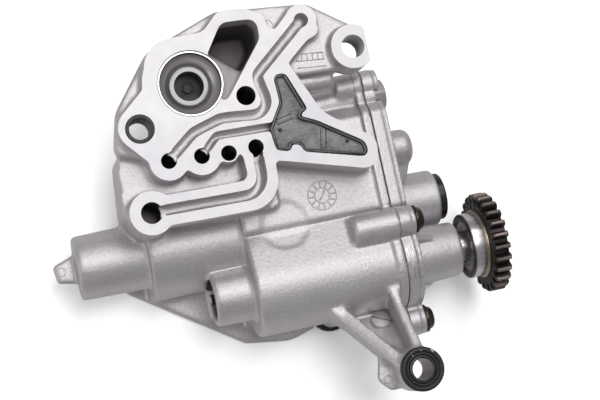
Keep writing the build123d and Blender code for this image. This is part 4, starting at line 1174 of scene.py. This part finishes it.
ring = spun([(-2.6, 6.0), (-0.6, 6.0), (-0.15, 6.25), (-0.15, 6.9), (-0.6, 7.1), (-0.6, 7.3), (-0.1, 7.6),
             (0.0, 8.2), (-0.15, 8.9), (-0.7, 9.4), (-2.6, 9.4)], LEG, UPRIGHT, 72)
mesh = softened(ring, "leg_bead", 0.15, 25.0)
piece = new_piece("leg_bead", mesh, RING, body_of("leg_ring"))
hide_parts("leg_ring")
print("leg ring:", len(mesh.polygons), "faces")

bead = spun([(-65.9, 6.7), (-61.4, 6.7), (-61.2, 7.3), (-61.4, 7.9), (-62.2, 8.3), (-65.9, 8.3)],
            INLET, UPRIGHT, 72)
mesh = softened(bead, "inlet_bead", 0.2, 25.0)
piece = new_piece("inlet_bead", mesh, RUBBER, body_of("inlet_seal"))
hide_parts("inlet_seal")
print("inlet bead:", len(mesh.polygons), "faces")


# %% [markdown]
# ## Marks on the castings
# The die leaves thin raised marks: a dial with ticks and a pointer, a small frame of blank cells, and round
# ejector pads. A bump could fake them, but they would vanish at a glancing view. They are ribs a few tenths high,
# sunk a little into the skin so that no gap shows under them.

# %% Ribs
def rib(start, end, width, height, sunk=0.35):
    """A thin raised line from start to end on the surface between these two points."""
    a, b = Vector(start) * MM, Vector(end) * MM
    way = b - a
    across = Vector((0, 0, 1)).cross(way).normalized()
    bm = bmesh.new()
    bmesh.ops.create_cube(bm, size=1.0)
    bmesh.ops.scale(bm, verts=bm.verts, vec=(way.length + width * MM, width * MM, (height + sunk) * MM))
    turn = Matrix((way.normalized(), across, way.normalized().cross(across))).transposed()
    bmesh.ops.rotate(bm, verts=bm.verts, cent=(0, 0, 0), matrix=turn)
    bmesh.ops.translate(bm, verts=bm.verts, vec=(a + b) / 2 + turn.col[2] * (height - sunk) * MM / 2)
    return bm


def round_rib(at, r, width, height, sunk=0.35):
    """A thin raised circle on a level surface at z."""
    x, y, z = at
    return spun([(z - sunk, r - width / 2), (z + height, r - width / 2), (z + height, r + width / 2),
                 (z - sunk, r + width / 2)], (x, y), UPRIGHT, 40)


# %% [markdown]
# The dial is two rings with twelve ticks between them and a pointer across its middle. A loop places the ticks
# by angle, as an indexing table would.

# %% Dial
DIAL_AT = (73.3, -39.9, -18.6)
TICKS, TICK_FROM, TICK_TO = 12, 4.2, 5.5
POINTER = (1.3, 1.7)


def on_dial(x, y):
    """A place on the dial's surface, seen from its middle."""
    return (DIAL_AT[0] + x, DIAL_AT[1] + y, DIAL_AT[2])


marks = [round_rib(DIAL_AT, 6.3, 0.45, 0.35), round_rib(DIAL_AT, 3.3, 0.5, 0.4)]
for i in range(TICKS):
    a = i * 2 * pi / TICKS
    marks.append(rib(on_dial(TICK_FROM * cos(a), TICK_FROM * sin(a)),
                     on_dial(TICK_TO * cos(a), TICK_TO * sin(a)), 0.6, 0.35))
marks.append(rib(on_dial(-POINTER[0], -POINTER[1]), on_dial(*POINTER), 0.6, 0.35))
print("dial:", len(marks), "ribs")

# %% [markdown]
# The frame of cells lies beside the upper eye: three long lines, and six short walls in the upper row. Each wall
# starts a little lower than the one before it, because the lines fall to the right. Three round pads show where
# ejector pins pushed the casting out.

# %% Cells and pads
EYE_WEB_Z = -6
ROWS, ROW_STEP = 3, 3.0
WALL_COUNT, WALL_STEP, WALL_DROP = 6, 2.36, 0.2
PADS = [((-41.0, -48.8, -41.0), 1.9, 0.4, 0.25), ((62.9, 34.7, -6.0), 2.2, 0.35, 0.25),
        ((83.7, -122.7, -15.0), 1.7, 0.5, 0.4)]

for i in range(ROWS):
    up = ROW_STEP * i
    marks.append(rib((71.8, 14.3 + up, EYE_WEB_Z), (83.9, 13.3 + up, EYE_WEB_Z), 0.4, 0.3))
for i in range(WALL_COUNT):
    x, down = 72.0 + WALL_STEP * i, WALL_DROP * i
    marks.append(rib((x, 17.2 - down, EYE_WEB_Z), (x + 0.2, 20.2 - down, EYE_WEB_Z), 0.35, 0.28))
for pad in PADS:
    marks.append(round_rib(*pad))
bm = joined(*marks)
bmesh.ops.recalc_face_normals(bm, faces=bm.faces)
mesh = softened(bm, "casting_marks", 0.1, 40.0, 1)
new_piece("casting_marks", mesh, CAST, body_of("pump_housing"))
print("marks:", len(marks), "ribs")

# %% [markdown]
# ## Lines on the insert
# The insert has two low walls across it, and along both feet of each wall lies a line of painted shade. There
# are two dark pins as well. Lines so thin would be lost in a pattern of the material, so they are ribs in black
# rubber that stand a few hundredths above the plate.

# %% Lines on the insert
PLATE_Z = -1.4
WALLS_ACROSS = (((56.9, -7.5), (63.9, -6.0)), ((75.9, -13.9), (74.2, -22.1)))
HALF_WALL = 1.1
PINS = ((57.6, -10.9), (84.9, -20.7))

lines = []
# the lines along the walls' feet are painted shade
for start, end in WALLS_ACROSS:
    a, b = Vector(start), Vector(end)
    aside = (b - a).orthogonal().normalized() * HALF_WALL
    for way in (aside, -aside):
        lines.append(rib((*(a + way), PLATE_Z), (*(b + way), PLATE_Z), 0.4, 0.04, 0.2))
for pin in PINS:
    lines.append(spun([(-1.5, 0), (-1.5, 0.8), (-0.9, 0.7), (-0.8, 0)], pin, UPRIGHT, 20))
mesh = softened(joined(*lines), "insert_lines", 0.05, 40.0, 1)
new_piece("insert_lines", mesh, RUBBER, body_of("insert_plate"))
print("insert:", len(lines), "lines and pins")

# %% [markdown]
# ## Disc on the leg
# A disc with a slot sits on the web between the ribs of the leg. The web leans, so the disc is turned upright
# first and tipped afterwards, which is simpler than spinning about a slanting line. Its slot is painted shade: a
# thin bar of black rubber along the disc's top.

# %% Disc on the leg
WEB_TILT = Matrix.Rotation(-0.652, 3, "X")
DISC_AT = metres(88.9, -98.1, -26.95)
DISC_TOP = 1.7

disc = spun([(-0.5, 0), (-0.5, 4.35), (1.5, 4.35), (DISC_TOP, 4.15), (DISC_TOP, 0)], (0, 0), UPRIGHT, 48)
# the slot is painted shade, a bar of black rubber
slot_shade_bar = rib((-3.4, 2.1, DISC_TOP), (3.5, -2.1, DISC_TOP), 0.55, 0.03, 0.3)
for part, name, material in ((disc, "leg_disc", CAST), (slot_shade_bar, "leg_disc_slot", RUBBER)):
    bmesh.ops.rotate(part, verts=part.verts, cent=(0, 0, 0), matrix=WEB_TILT)
    bmesh.ops.translate(part, verts=part.verts, vec=DISC_AT)
    mesh = softened(part, name, 0.08, 40.0, 1)
    new_piece(name, mesh, material, body_of("pump_housing"))
    print(name, len(mesh.polygons), "faces")
